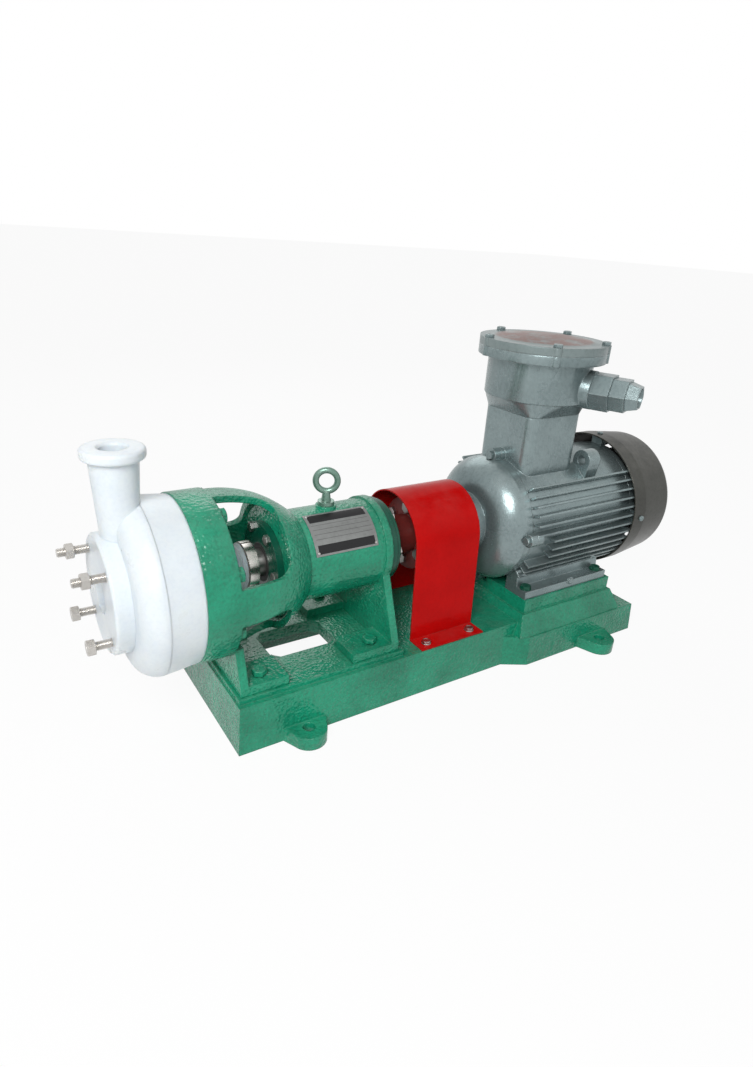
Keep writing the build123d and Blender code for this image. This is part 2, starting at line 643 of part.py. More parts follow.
# Front casing of the wet end: suction flange, rounded volute and discharge neck, one moulding
bulge_mid = BULGE_R * cos(radians(45.0))
with BuildPart() as pump_casing:
    with BuildSketch(SHAFT_PLANE):
        Polygon(
            (SUCTION_X, 0),
            (SUCTION_X, FLANGE_R - 3.0),
            (SUCTION_X + 3.0, FLANGE_R),
            (SUCTION_X + FLANGE_T, FLANGE_R),
            (SUCTION_X + FLANGE_T, 0),
        )
        with BuildLine():
            bulge = ThreePointArc(
                (SUCTION_X + FLANGE_T, SEAM_R - BULGE_R),
                (SEAM_X - bulge_mid, SEAM_R - BULGE_R + bulge_mid),
                (SEAM_X, SEAM_R),
            )
            Polyline(bulge @ 1, (SEAM_X, 0), (SUCTION_X + FLANGE_T, 0), bulge @ 0)
        make_face()
    revolve(axis=SHAFT_AXIS)
    with BuildSketch(Plane.XZ):
        Polygon(
            (NECK_X, NECK_FOOT_Z),
            (NECK_X + NECK_FOOT_R, NECK_FOOT_Z),
            (NECK_X + NECK_HEAD_R, NECK_TOP_Z - LIP_T),
            (NECK_X, NECK_TOP_Z - LIP_T),
        )
        with Locations((NECK_X + LIP_R / 2, NECK_TOP_Z - LIP_T / 2)):
            Rectangle(LIP_R, LIP_T)
    revolve(axis=Axis((NECK_X, 0, 0), (0, 0, 1)))
    fillet([e for e in edges().filter_by(GeomType.CIRCLE) if abs(e.radius - LIP_R) < 0.01], radius=LIP_ROUND)
    # Pumping chamber, suction bore and discharge bore
    with BuildSketch(SHAFT_PLANE):
        Polygon(*ring(SUCTION_X, CAVITY_X, 0, SUCTION_BORE_R))
        Polygon(*ring(SUCTION_X + SUCTION_BORE_LEN, CAVITY_X, 0, EYE_RECESS_R))
        Polygon(*ring(CAVITY_X, SEAM_X, 0, CAVITY_R))
        Polygon(*ring(SEAM_X, SEAM_X + NECK_FOOT_R, 0, SEAM_R))
    revolve(axis=SHAFT_AXIS, mode=Mode.SUBTRACT)
    with BuildSketch(Plane.XY.offset(SHAFT_H + CAVITY_R - NECK_THROAT_DEPTH)):
        with Locations((NECK_X, 0)):
            Circle(NECK_THROAT_R)
    extrude(until=Until.LAST, mode=Mode.SUBTRACT)
    with BuildSketch(Plane.XY.offset(SHAFT_H + CAVITY_R + NECK_THROAT_RISE)):
        with Locations((NECK_X, 0)):
            Circle(NECK_BORE_R)
    extrude(until=Until.LAST, mode=Mode.SUBTRACT)
    with BuildSketch(Plane.XY.offset(NECK_TOP_Z)):
        with Locations((NECK_X, 0)):
            Circle(NECK_MOUTH_R)
    extrude(amount=-(NECK_MOUTH_R - NECK_BORE_R), taper=45, mode=Mode.SUBTRACT)
    # Holes for the suction studs and the casing bolts
    with BuildSketch(across(SUCTION_X)):
        with Locations(*STUD_PLACES):
            Circle(STUD_R)
    extrude(amount=STUD_DEPTH, mode=Mode.SUBTRACT)
    with BuildSketch(across(SEAM_X)):
        with PolarLocations(CASING_BOLT_PCR, CASING_BOLT_COUNT, start_angle=CASING_BOLT_START):
            Circle(CASING_BOLT_R)
    extrude(amount=-(CASING_BOLT_GRIP - BAND_LEN), mode=Mode.SUBTRACT)
keep(pump_casing.part, "pump_casing")

# Rear cover of the wet end: closes the chamber, carries the throat and sits in the bracket's ring
with BuildPart() as casing_cover:
    with BuildSketch(SHAFT_PLANE):
        Polygon(
            (SEAM_X, CAVITY_R),
            (SEAM_X, SEAM_R),
            (RING_X, BAND_R),
            (RING_X, SPIGOT_R),
            (SPIGOT_END_X, SPIGOT_R),
            (SPIGOT_END_X, THROAT_R),
            (CAVITY_END_X, THROAT_R),
            (CAVITY_END_X, CAVITY_R),
        )
    revolve(axis=SHAFT_AXIS)
    with BuildSketch(across(SEAM_X)):
        with PolarLocations(CASING_BOLT_PCR, CASING_BOLT_COUNT, start_angle=CASING_BOLT_START):
            Circle(CASING_BOLT_R + BOLT_PLAY)
    extrude(amount=BAND_LEN, mode=Mode.SUBTRACT)
    with BuildSketch(across(SPIGOT_END_X)):
        with PolarLocations(GLAND_BOLT_PCR, 4, start_angle=45):
            Circle(GLAND_BOLT_R)
    extrude(amount=-COVER_BOLT_DEPTH, mode=Mode.SUBTRACT)
keep(casing_cover.part, "casing_cover")

# Casing bolts, put in from behind the bracket's ring
with BuildPart() as casing_bolts:
    with BuildSketch(across(RING_BACK_X)):
        with PolarLocations(CASING_BOLT_PCR, CASING_BOLT_COUNT, start_angle=CASING_BOLT_START):
            Circle(CASING_BOLT_R)
    extrude(amount=-(RING_LEN + CASING_BOLT_GRIP))
    with BuildSketch(across(RING_BACK_X)):
        with PolarLocations(CASING_BOLT_PCR, CASING_BOLT_COUNT, start_angle=CASING_BOLT_START):
            RegularPolygon(CASING_BOLT_R * 1.6, 6, major_radius=False)
    extrude(amount=CASING_BOLT_R * 1.3)
keep(casing_bolts.part, "casing_bolts")

# Suction studs with their nuts
with BuildPart() as suction_studs:
    for stud_y, stud_z in STUD_PLACES:
        stud_out = STUD_OUT_UPPER if stud_z > 0 else STUD_OUT_LOWER
        with BuildSketch(across(SUCTION_X - stud_out)):
            with Locations((stud_y, stud_z)):
                Circle(STUD_R)
        extrude(amount=stud_out + STUD_DEPTH)
keep(suction_studs.part, "suction_studs")

with BuildPart() as suction_nuts:
    for stud_y, stud_z in STUD_PLACES:
        nut_back = STUD_OUT_LOWER if stud_z < 0 else STUD_NUT_BACK
        with BuildSketch(across(SUCTION_X - nut_back)):
            with Locations((stud_y, stud_z)):
                RegularPolygon(STUD_NUT_FLAT / 2, 6, major_radius=False)
                Circle(STUD_R, mode=Mode.SUBTRACT)
        extrude(amount=STUD_NUT_T)
keep(suction_nuts.part, "suction_nuts")

# Impeller: two shrouds with backward-swept vanes between them
vane_r0 = IMPELLER_EYE_R + 4.0
vane_turn = 62.0
with BuildPart() as impeller:
    with BuildSketch(SHAFT_PLANE):
        Polygon(
            (IMPELLER_END_X, SHAFT_TIP_R),
            (IMPELLER_END_X, IMPELLER_R),
            (IMPELLER_END_X - SHROUD_T, IMPELLER_R),
            (IMPELLER_END_X - SHROUD_T - 5.0, HUB_R + 12.0),
            (IMPELLER_X, HUB_R),
            (IMPELLER_X, SHAFT_TIP_R),
        )
        Polygon(
            (IMPELLER_X, IMPELLER_EYE_R),
            (IMPELLER_X, IMPELLER_EYE_R + SHROUD_T),
            (IMPELLER_X + 7.0, IMPELLER_R),
            (IMPELLER_X + 7.0 + SHROUD_T, IMPELLER_R),
            (IMPELLER_X + SHROUD_T, IMPELLER_EYE_R),
        )
    revolve(axis=SHAFT_AXIS)
    for number in range(VANE_COUNT):
        start = 360.0 / VANE_COUNT * number
        points = []
        for radius, turned in ((vane_r0, 0.0), ((vane_r0 + IMPELLER_R) / 2, vane_turn * 0.42), (IMPELLER_R - 1.0, vane_turn)):
            angle = radians(start + turned)
            points.append((radius * cos(angle), radius * sin(angle)))
        with BuildSketch(across(IMPELLER_X + SHROUD_T + 3.0)):
            with BuildLine():
                ThreePointArc(*points)
            trace(line_width=VANE_T)
        extrude(amount=IMPELLER_W - 2 * SHROUD_T - 2.0)
keep(impeller.part, "impeller")

with BuildPart() as impeller_cap:
    with BuildSketch(SHAFT_PLANE):
        with BuildLine():
            nose = ThreePointArc(
                (IMPELLER_X - CAP_T, 0),
                (IMPELLER_X - CAP_T * 0.72, CAP_R * 0.68),
                (IMPELLER_X, CAP_R),
            )
            Polyline(nose @ 1, (IMPELLER_X, 0), nose @ 0)
        make_face()
    revolve(axis=SHAFT_AXIS)
keep(impeller_cap.part, "impeller_cap")

# Pump shaft, stepped for the impeller, the sleeve, two bearings and the coupling
pump_shaft_end_x = COUPLING_X - COUPLING_GAP / 2 - 2.0
key_len = COUPLING_HUB_T + COUPLING_FLANGE_T - 16.0
pump_key_x = COUPLING_X - COUPLING_GAP / 2 - COUPLING_FLANGE_T - COUPLING_HUB_T + 8.0
with BuildPart() as pump_shaft:
    with BuildSketch(SHAFT_PLANE):
        Polygon(*ring(IMPELLER_X, IMPELLER_END_X, 0, SHAFT_TIP_R))
        Polygon(*ring(IMPELLER_END_X, SLEEVE_END_X, 0, SHAFT_WET_R))
        Polygon(*ring(SLEEVE_END_X, FRONT_BEARING_END_X, 0, SLEEVE_R))
        Polygon(*ring(FRONT_BEARING_END_X, REAR_BEARING_X, 0, SHAFT_MID_R))
        Polygon(*ring(REAR_BEARING_X, REAR_BEARING_END_X + LOCKNUT_T, 0, SLEEVE_R))
        Polygon(*ring(REAR_BEARING_END_X + LOCKNUT_T, HOUSING_END_X + REAR_COVER_T + 6.0, 0, SHAFT_TAIL_R))
        Polygon(*ring(HOUSING_END_X + REAR_COVER_T + 6.0, pump_shaft_end_x, 0, SHAFT_DRIVE_R))
    revolve(axis=SHAFT_AXIS)
    with BuildSketch(Plane.XY.offset(SHAFT_H + SHAFT_DRIVE_R - KEY_H)):
        with Locations((pump_key_x + key_len / 2, 0)):
            Rectangle(key_len, KEY_W)
    extrude(amount=2 * KEY_H, mode=Mode.SUBTRACT)
keep(pump_shaft.part, "pump_shaft")

with BuildPart() as shaft_sleeve:
    with BuildSketch(SHAFT_PLANE):
        Polygon(*ring(IMPELLER_END_X, SLEEVE_END_X, SHAFT_WET_R, SLEEVE_R))
    revolve(axis=SHAFT_AXIS)
keep(shaft_sleeve.part, "shaft_sleeve")

# Shaft seal: gland plate with the still ring, bellows with the turning face, and its clamp
with BuildPart() as seal_gland:
    with BuildSketch(SHAFT_PLANE):
        Polygon(
            (SPIGOT_END_X, SLEEVE_R + 4.0),
            (SPIGOT_END_X, GLAND_R),
            (GLAND_FACE_X, GLAND_R),
            (GLAND_FACE_X, SEAT_R),
            (SEAT_X, SEAT_R),
            (SEAT_X, SLEEVE_R + 4.0),
        )
    revolve(axis=SHAFT_AXIS)
    with BuildSketch(across(SPIGOT_END_X)):
        with PolarLocations(GLAND_BOLT_PCR, 4, start_angle=45):
            Circle(GLAND_BOLT_R + BOLT_PLAY)
    extrude(amount=GLAND_T, mode=Mode.SUBTRACT)
keep(seal_gland.part, "seal_gland")

with BuildPart() as gland_bolts:
    with BuildSketch(across(GLAND_FACE_X)):
        with PolarLocations(GLAND_BOLT_PCR, 4, start_angle=45):
            Circle(GLAND_BOLT_R)
    extrude(amount=-(GLAND_T + COVER_BOLT_DEPTH))
    with BuildSketch(across(GLAND_FACE_X)):
        with PolarLocations(GLAND_BOLT_PCR, 4, start_angle=45):
            RegularPolygon(GLAND_BOLT_R * 1.8, 6, major_radius=False)
    extrude(amount=GLAND_BOLT_R * 1.3)
keep(gland_bolts.part, "gland_bolts")

with BuildPart() as seal_seat:
    with BuildSketch(SHAFT_PLANE):
        Polygon(*ring(SEAT_X, SEAT_FACE_X, SEAT_BORE_R, SEAT_R))
    revolve(axis=SHAFT_AXIS)
keep(seal_seat.part, "seal_seat")

wave = (BELLOWS_LEN - 10.0) / (2 * BELLOWS_WAVES)
bellows_corners = [(BELLOWS_X, SLEEVE_R), (BELLOWS_X, BELLOWS_R), (BELLOWS_X + 10.0, BELLOWS_R)]
for number in range(BELLOWS_WAVES):
    foot = BELLOWS_X + 10.0 + 2 * wave * number
    bellows_corners.append((foot + wave * 0.5, BELLOWS_R - 7.0))
    bellows_corners.append((foot + wave * 1.5, BELLOWS_R))
bellows_corners += [(BELLOWS_END_X, BELLOWS_R - 7.0), (BELLOWS_END_X, SLEEVE_R)]
with BuildPart() as seal_bellows:
    with BuildSketch(SHAFT_PLANE):
        Polygon(*bellows_corners)
    revolve(axis=SHAFT_AXIS)
keep(seal_bellows.part, "seal_bellows")

with BuildPart() as seal_clamp:
    with BuildSketch(SHAFT_PLANE):
        Polygon(*ring(BELLOWS_END_X, BELLOWS_END_X + CLAMP_T, SLEEVE_R, CLAMP_R))
    revolve(axis=SHAFT_AXIS)
    with BuildSketch(SHAFT_PLANE):
        with Locations((BELLOWS_END_X + CLAMP_T / 2, CLAMP_R)):
            Rectangle(CLAMP_T, 2 * (CLAMP_R - SLEEVE_R) - 4.0)
    extrude(amount=1.5, both=True, mode=Mode.SUBTRACT)
keep(seal_clamp.part, "seal_clamp")

# Bearings: outer races in the housing, inner races and caged balls on the shaft
def race_pair(first_x, second_x, width, inner, outer):
    """Two equal races, one at each bearing place."""
    with BuildPart() as races:
        with BuildSketch(SHAFT_PLANE):
            Polygon(*ring(first_x, first_x + width, inner, outer))
            Polygon(*ring(second_x, second_x + width, inner, outer))
        revolve(axis=SHAFT_AXIS)
    return races.part


def caged_balls(first_x, second_x, width, inner, outer, race):
    """Balls held in a cage between the races of two equal bearings."""
    pitch_r = (inner + outer) / 2
    ball_r = (outer - inner) / 2 - race - RUN_PLAY
    with BuildPart() as balls:
        for place in (first_x + width / 2, second_x + width / 2):
            with BuildSketch(SHAFT_PLANE):
                Polygon(*ring(place - ball_r * 0.6, place + ball_r * 0.6, pitch_r - 1.0, pitch_r + 1.0))
            revolve(axis=SHAFT_AXIS)
            with Locations(across(place)):
                with PolarLocations(pitch_r, BALL_COUNT):
                    Sphere(ball_r)
    return balls.part


keep(
    race_pair(FRONT_BEARING_X, REAR_BEARING_X, BEARING_T, BEARING_R - RACE_T, BEARING_R),
    "pump_bearing_outer_races",
)
keep(
    race_pair(FRONT_BEARING_X, REAR_BEARING_X, BEARING_T, SLEEVE_R, SLEEVE_R + RACE_T),
    "pump_bearing_inner_races",
)
keep(
    caged_balls(FRONT_BEARING_X, REAR_BEARING_X, BEARING_T, SLEEVE_R, BEARING_R, RACE_T),
    "pump_bearing_balls",
)

with BuildPart() as bearing_locknut:
    with BuildSketch(SHAFT_PLANE):
        Polygon(*ring(REAR_BEARING_END_X, REAR_BEARING_END_X + LOCKNUT_T, SLEEVE_R, LOCKNUT_R))
    revolve(axis=SHAFT_AXIS)
    with BuildSketch(across(REAR_BEARING_END_X)):
        with PolarLocations(LOCKNUT_R, 4):
            Rectangle(5.0, 5.0)
    extrude(amount=LOCKNUT_T, mode=Mode.SUBTRACT)
keep(bearing_locknut.part, "bearing_locknut")

# Bearing covers with lip seals
front_cover_x = HOUSING_X - FRONT_COVER_T
with BuildPart() as front_bearing_cover:
    with BuildSketch(SHAFT_PLANE):
        Polygon(
            (front_cover_x, LIP_SEAL_R),
            (front_cover_x, FRONT_COVER_R),
            (HOUSING_X, FRONT_COVER_R),
            (HOUSING_X, BEARING_R - SPIGOT_PLAY),
            (FRONT_BEARING_X, BEARING_R - SPIGOT_PLAY),
            (FRONT_BEARING_X, COVER_SPIGOT_R),
            (FRONT_BEARING_X - 4.0, COVER_SPIGOT_R),
            (FRONT_BEARING_X - 4.0, SLEEVE_R + 1.0),
            (front_cover_x + LIP_SEAL_T, SLEEVE_R + 1.0),
            (front_cover_x + LIP_SEAL_T, LIP_SEAL_R),
        )
    revolve(axis=SHAFT_AXIS)
    with BuildSketch(across(front_cover_x)):
        with PolarLocations(COVER_BOLT_PCR, COVER_BOLT_COUNT):
            Circle(COVER_BOLT_R + BOLT_PLAY)
    extrude(amount=FRONT_COVER_T, mode=Mode.SUBTRACT)
keep(front_bearing_cover.part, "front_bearing_cover")

rear_cover_end_x = HOUSING_END_X + REAR_COVER_T
with BuildPart() as rear_bearing_cover:
    with BuildSketch(SHAFT_PLANE):
        Polygon(
            (REAR_BEARING_END_X, COVER_SPIGOT_R),
            (REAR_BEARING_END_X, BEARING_R - SPIGOT_PLAY),
            (HOUSING_END_X, BEARING_R - SPIGOT_PLAY),
            (HOUSING_END_X, REAR_COVER_R),
            (HOUSING_END_X + 10.0, REAR_COVER_R),
            (HOUSING_END_X + 10.0, REAR_COVER_R - 3.0),
            (rear_cover_end_x - 2.0, REAR_COVER_R - 3.0),
            (rear_cover_end_x, REAR_COVER_R - 5.0),
            (rear_cover_end_x, LIP_SEAL_R),
            (rear_cover_end_x - LIP_SEAL_T, LIP_SEAL_R),
            (rear_cover_end_x - LIP_SEAL_T, SHAFT_TAIL_R + 1.0),
            (rear_cover_end_x - LIP_SEAL_T - 5.0, SHAFT_TAIL_R + 1.0),
            (rear_cover_end_x - LIP_SEAL_T - 5.0, NUT_SPACE_R),
            (REAR_BEARING_END_X + 3.0, NUT_SPACE_R),
            (REAR_BEARING_END_X + 3.0, COVER_SPIGOT_R),
        )
    revolve(axis=SHAFT_AXIS)
    with BuildSketch(across(HOUSING_END_X)):
        with PolarLocations(COVER_BOLT_PCR, COVER_BOLT_COUNT):
            Circle(COVER_BOLT_R + BOLT_PLAY)
    extrude(amount=REAR_COVER_T, mode=Mode.SUBTRACT)
keep(rear_bearing_cover.part, "rear_bearing_cover")

with BuildPart() as bearing_cover_bolts:
    for face_x, outward, grip in (
        (front_cover_x, -1, FRONT_COVER_T + COVER_BOLT_DEPTH),
        (rear_cover_end_x, 1, REAR_COVER_T + COVER_BOLT_DEPTH),
    ):
        with BuildSketch(across(face_x)):
            with PolarLocations(COVER_BOLT_PCR, COVER_BOLT_COUNT):
                Circle(COVER_BOLT_R)
        extrude(amount=-outward * grip)
        with BuildSketch(across(face_x)):
            with PolarLocations(COVER_BOLT_PCR, COVER_BOLT_COUNT):
                RegularPolygon(COVER_BOLT_R * 1.6, 6, major_radius=False)
        extrude(amount=outward * COVER_BOLT_R * 1.3)
keep(bearing_cover_bolts.part, "bearing_cover_bolts")

with BuildPart() as lip_seals:
    with BuildSketch(SHAFT_PLANE):
        Polygon(*ring(front_cover_x, front_cover_x + LIP_SEAL_T, SLEEVE_R + RUN_PLAY, LIP_SEAL_R))
        Polygon(*ring(rear_cover_end_x - LIP_SEAL_T, rear_cover_end_x, SHAFT_TAIL_R + RUN_PLAY, LIP_SEAL_R))
    revolve(axis=SHAFT_AXIS)
keep(lip_seals.part, "lip_seals")

# Bolts through the bracket's feet
with BuildPart() as pump_foot_bolts:
    with BuildSketch(Plane.XY.offset(FOOT_TOP)):
        with Locations(*FOOT_BOLT_PLACES):
            Circle(FOOT_BOLT_R)
    extrude(amount=-(FOOT_T + FOOT_BOLT_DEPTH))
    with BuildSketch(Plane.XY.offset(FOOT_TOP)):
        with Locations(*FOOT_BOLT_PLACES):
            Circle(FOOT_BOLT_R * 2.0)
    extrude(amount=2.0)
    with BuildSketch(Plane.XY.offset(FOOT_TOP + 2.0)):
        with Locations(*FOOT_BOLT_PLACES):
            RegularPolygon(FOOT_BOLT_R * 1.55, 6, major_radius=False)
    extrude(amount=FOOT_BOLT_R * 1.3)
keep(pump_foot_bolts.part, "pump_foot_bolts")

# Eye bolt on the housing
eye_foot_z = SHAFT_H + HOUSING_R + EYE_BOSS_H
eye_normal = (-sin(radians(EYE_TURN)), -cos(radians(EYE_TURN)), 0)
eye_ring_plane = Plane(origin=(EYE_X, 0, eye_foot_z + EYE_RISE), x_dir=(0, 0, 1), z_dir=eye_normal)
with BuildPart() as eye_bolt:
    with Locations(eye_ring_plane):
        Torus(EYE_R, EYE_WIRE_R)
    with BuildSketch(Plane.XY.offset(eye_foot_z)):
        with Locations((EYE_X, 0)):
            Circle(EYE_COLLAR_R)
    extrude(amount=EYE_COLLAR_T)
    with BuildSketch(Plane.XY.offset(eye_foot_z)):
        with Locations((EYE_X, 0)):
            Circle(EYE_SHANK_R + 3.0)
    extrude(amount=EYE_RISE - EYE_R, taper=8)
    with BuildSketch(Plane.XY.offset(eye_foot_z)):
        with Locations((EYE_X, 0)):
            Circle(EYE_SHANK_R)
    extrude(amount=-EYE_SHANK_LEN + 1.0)
keep(eye_bolt.part, "eye_bolt")

# Plate riveted to the near side of the housing, left bare
plate_x = HOUSING_X + PLATE_IN
plate_r = HOUSING_R + PLATE_AIR
plate_mid = radians((PLATE_LOW_ANGLE + PLATE_HIGH_ANGLE) / 2)
plate_span = radians((PLATE_HIGH_ANGLE - PLATE_LOW_ANGLE) / 2)
with BuildPart() as nameplate:
    with BuildSketch(across(plate_x)):
        with BuildLine():
            for radius in (plate_r, plate_r + PLATE_T):
                ThreePointArc(
                    (-radius * cos(plate_mid - plate_span), radius * sin(plate_mid - plate_span)),
                    (-radius * cos(plate_mid), radius * sin(plate_mid)),
                    (-radius * cos(plate_mid + plate_span), radius * sin(plate_mid + plate_span)),
                )
            for edge_angle in (plate_mid - plate_span, plate_mid + plate_span):
                Line(
                    (-plate_r * cos(edge_angle), plate_r * sin(edge_angle)),
                    (-(plate_r + PLATE_T) * cos(edge_angle), (plate_r + PLATE_T) * sin(edge_angle)),
                )
        make_face()
    extrude(amount=PLATE_LEN)
keep(nameplate.part, "nameplate")

rivet_angle = plate_span - radians(4.0)
with BuildPart() as nameplate_rivets:
    for rivet_x in (plate_x + 4.0, plate_x + PLATE_LEN - 4.0):
        for angle in (plate_mid - rivet_angle, plate_mid + rivet_angle):
            outward = (0, -cos(angle), sin(angle))
            seat = (plate_r + PLATE_T) * Vector(*outward) + Vector(rivet_x, 0, SHAFT_H)
            with BuildSketch(Plane(origin=seat, x_dir=(1, 0, 0), z_dir=outward)):
                Circle(RIVET_R)
            extrude(amount=RIVET_T, taper=20)
keep(nameplate_rivets.part, "nameplate_rivets")

# Keys in the two shaft ends
with BuildPart() as pump_key:
    with BuildSketch(Plane.XY.offset(SHAFT_H + SHAFT_DRIVE_R - KEY_H)):
        with Locations((pump_key_x + key_len / 2, 0)):
            Rectangle(key_len, KEY_W)
    extrude(amount=2 * KEY_H)
keep(pump_key.part, "pump_key")

motor_shaft_x = COUPLING_X + COUPLING_GAP / 2 + 2.0
motor_key_x = motor_shaft_x + 8.0
with BuildPart() as motor_key:
    with BuildSketch(Plane.XY.offset(SHAFT_H + MOTOR_SHAFT_R - KEY_H)):
        with Locations((motor_key_x + key_len / 2, 0)):
            Rectangle(key_len, KEY_W)
    extrude(amount=2 * KEY_H)
keep(motor_key.part, "motor_key")

# Flexible pin coupling
pump_half_end_x = COUPLING_X - COUPLING_GAP / 2
motor_half_x = COUPLING_X + COUPLING_GAP / 2
with BuildPart() as pump_coupling_half:
    with BuildSketch(SHAFT_PLANE):
        Polygon(
            (pump_half_end_x, 0),
            (pump_half_end_x, COUPLING_R),
            (pump_half_end_x - COUPLING_FLANGE_T, COUPLING_R),
            (pump_half_end_x - COUPLING_FLANGE_T, COUPLING_HUB_R),
            (pump_half_end_x - COUPLING_FLANGE_T - COUPLING_HUB_T, COUPLING_HUB_R),
            (pump_half_end_x - COUPLING_FLANGE_T - COUPLING_HUB_T, 0),
        )
    revolve(axis=SHAFT_AXIS)
    with BuildSketch(across(pump_half_end_x)):
        Circle(SHAFT_DRIVE_R)
        with Locations((0, SHAFT_DRIVE_R)):
            Rectangle(KEY_W, 2 * KEY_H)
        with PolarLocations(PIN_PCR, PIN_COUNT, start_angle=30):
            Circle(PIN_R)
    extrude(amount=-(COUPLING_FLANGE_T + COUPLING_HUB_T), mode=Mode.SUBTRACT)
keep(pump_coupling_half.part, "pump_coupling_half")

with BuildPart() as motor_coupling_half:
    with BuildSketch(SHAFT_PLANE):
        Polygon(
            (motor_half_x, 0),
            (motor_half_x, COUPLING_R),
            (motor_half_x + COUPLING_FLANGE_T, COUPLING_R),
            (motor_half_x + COUPLING_FLANGE_T, COUPLING_HUB_R),
            (motor_half_x + COUPLING_FLANGE_T + COUPLING_HUB_T, COUPLING_HUB_R),
            (motor_half_x + COUPLING_FLANGE_T + COUPLING_HUB_T, 0),
        )
    revolve(axis=SHAFT_AXIS)
    with BuildSketch(across(motor_half_x)):
        Circle(MOTOR_SHAFT_R)
        with Locations((0, MOTOR_SHAFT_R)):
            Rectangle(KEY_W, 2 * KEY_H)
        with PolarLocations(PIN_PCR, PIN_COUNT, start_angle=30):
            Circle(BUSH_R + RUN_PLAY)
    extrude(amount=COUPLING_FLANGE_T + COUPLING_HUB_T, mode=Mode.SUBTRACT)
keep(motor_coupling_half.part, "motor_coupling_half")

motor_flange_end_x = motor_half_x + COUPLING_FLANGE_T
with BuildPart() as coupling_pins:
    with BuildSketch(across(pump_half_end_x - COUPLING_FLANGE_T)):
        with PolarLocations(PIN_PCR, PIN_COUNT, start_angle=30):
            Circle(PIN_R)
    extrude(amount=motor_flange_end_x - pump_half_end_x + COUPLING_FLANGE_T)
    with BuildSketch(across(motor_flange_end_x)):
        with PolarLocations(PIN_PCR, PIN_COUNT, start_angle=30):
            Circle(BUSH_R - 1.0)
    extrude(amount=PIN_HEAD_T / 2)
    with BuildSketch(across(pump_half_end_x - COUPLING_FLANGE_T)):
        with PolarLocations(PIN_PCR, PIN_COUNT, start_angle=30):
            RegularPolygon(PIN_R * 1.6, 6, major_radius=False)
    extrude(amount=-PIN_HEAD_T)
keep(coupling_pins.part, "coupling_pins")

with BuildPart() as coupling_bushes:
    with BuildSketch(across(motor_half_x + 1.0)):
        with PolarLocations(PIN_PCR, PIN_COUNT, start_angle=30):
            Circle(BUSH_R)
        with PolarLocations(PIN_PCR, PIN_COUNT, start_angle=30):
            Circle(PIN_R, mode=Mode.SUBTRACT)
    extrude(amount=COUPLING_FLANGE_T - 1.0)
keep(coupling_bushes.part, "coupling_bushes")

# Guard over the coupling, bent from sheet
deck_drop = DECK_H - SHAFT_H
with BuildPart() as coupling_guard:
    with BuildSketch(across(GUARD_X)):
        with BuildLine():
            Polyline(
                (-GUARD_R, 0),
                (-GUARD_LEG_Y, deck_drop + GUARD_T),
                (-GUARD_FOOT_Y, deck_drop + GUARD_T),
                (-GUARD_FOOT_Y, deck_drop),
                (-GUARD_LEG_Y + GUARD_T, deck_drop),
                (-GUARD_R + GUARD_T, 0),
            )
            ThreePointArc((-GUARD_R + GUARD_T, 0), (0, GUARD_R - GUARD_T), (GUARD_R - GUARD_T, 0))
            Polyline(
                (GUARD_R - GUARD_T, 0),
                (GUARD_LEG_Y - GUARD_T, deck_drop),
                (GUARD_FOOT_Y, deck_drop),
                (GUARD_FOOT_Y, deck_drop + GUARD_T),
                (GUARD_LEG_Y, deck_drop + GUARD_T),
                (GUARD_R, 0),
            )
            ThreePointArc((GUARD_R, 0), (0, GUARD_R), (-GUARD_R, 0))
        make_face()
    extrude(amount=GUARD_LEN)
    with BuildSketch(Plane.XY.offset(DECK_H)):
        with Locations(*GUARD_BOLT_PLACES):
            Circle(GUARD_BOLT_R + BOLT_PLAY)
    extrude(amount=GUARD_T, mode=Mode.SUBTRACT)
keep(coupling_guard.part, "coupling_guard")

with BuildPart() as guard_bolts:
    with BuildSketch(Plane.XY.offset(DECK_H + GUARD_T)):
        with Locations(*GUARD_BOLT_PLACES):
            Circle(GUARD_BOLT_R)
    extrude(amount=-(GUARD_T + BASE_WALL))
    with BuildSketch(Plane.XY.offset(DECK_H + GUARD_T)):
        with Locations(*GUARD_BOLT_PLACES):
            RegularPolygon(GUARD_BOLT_R * 1.6, 6, major_radius=False)
    extrude(amount=GUARD_BOLT_R * 1.3)
keep(guard_bolts.part, "guard_bolts")

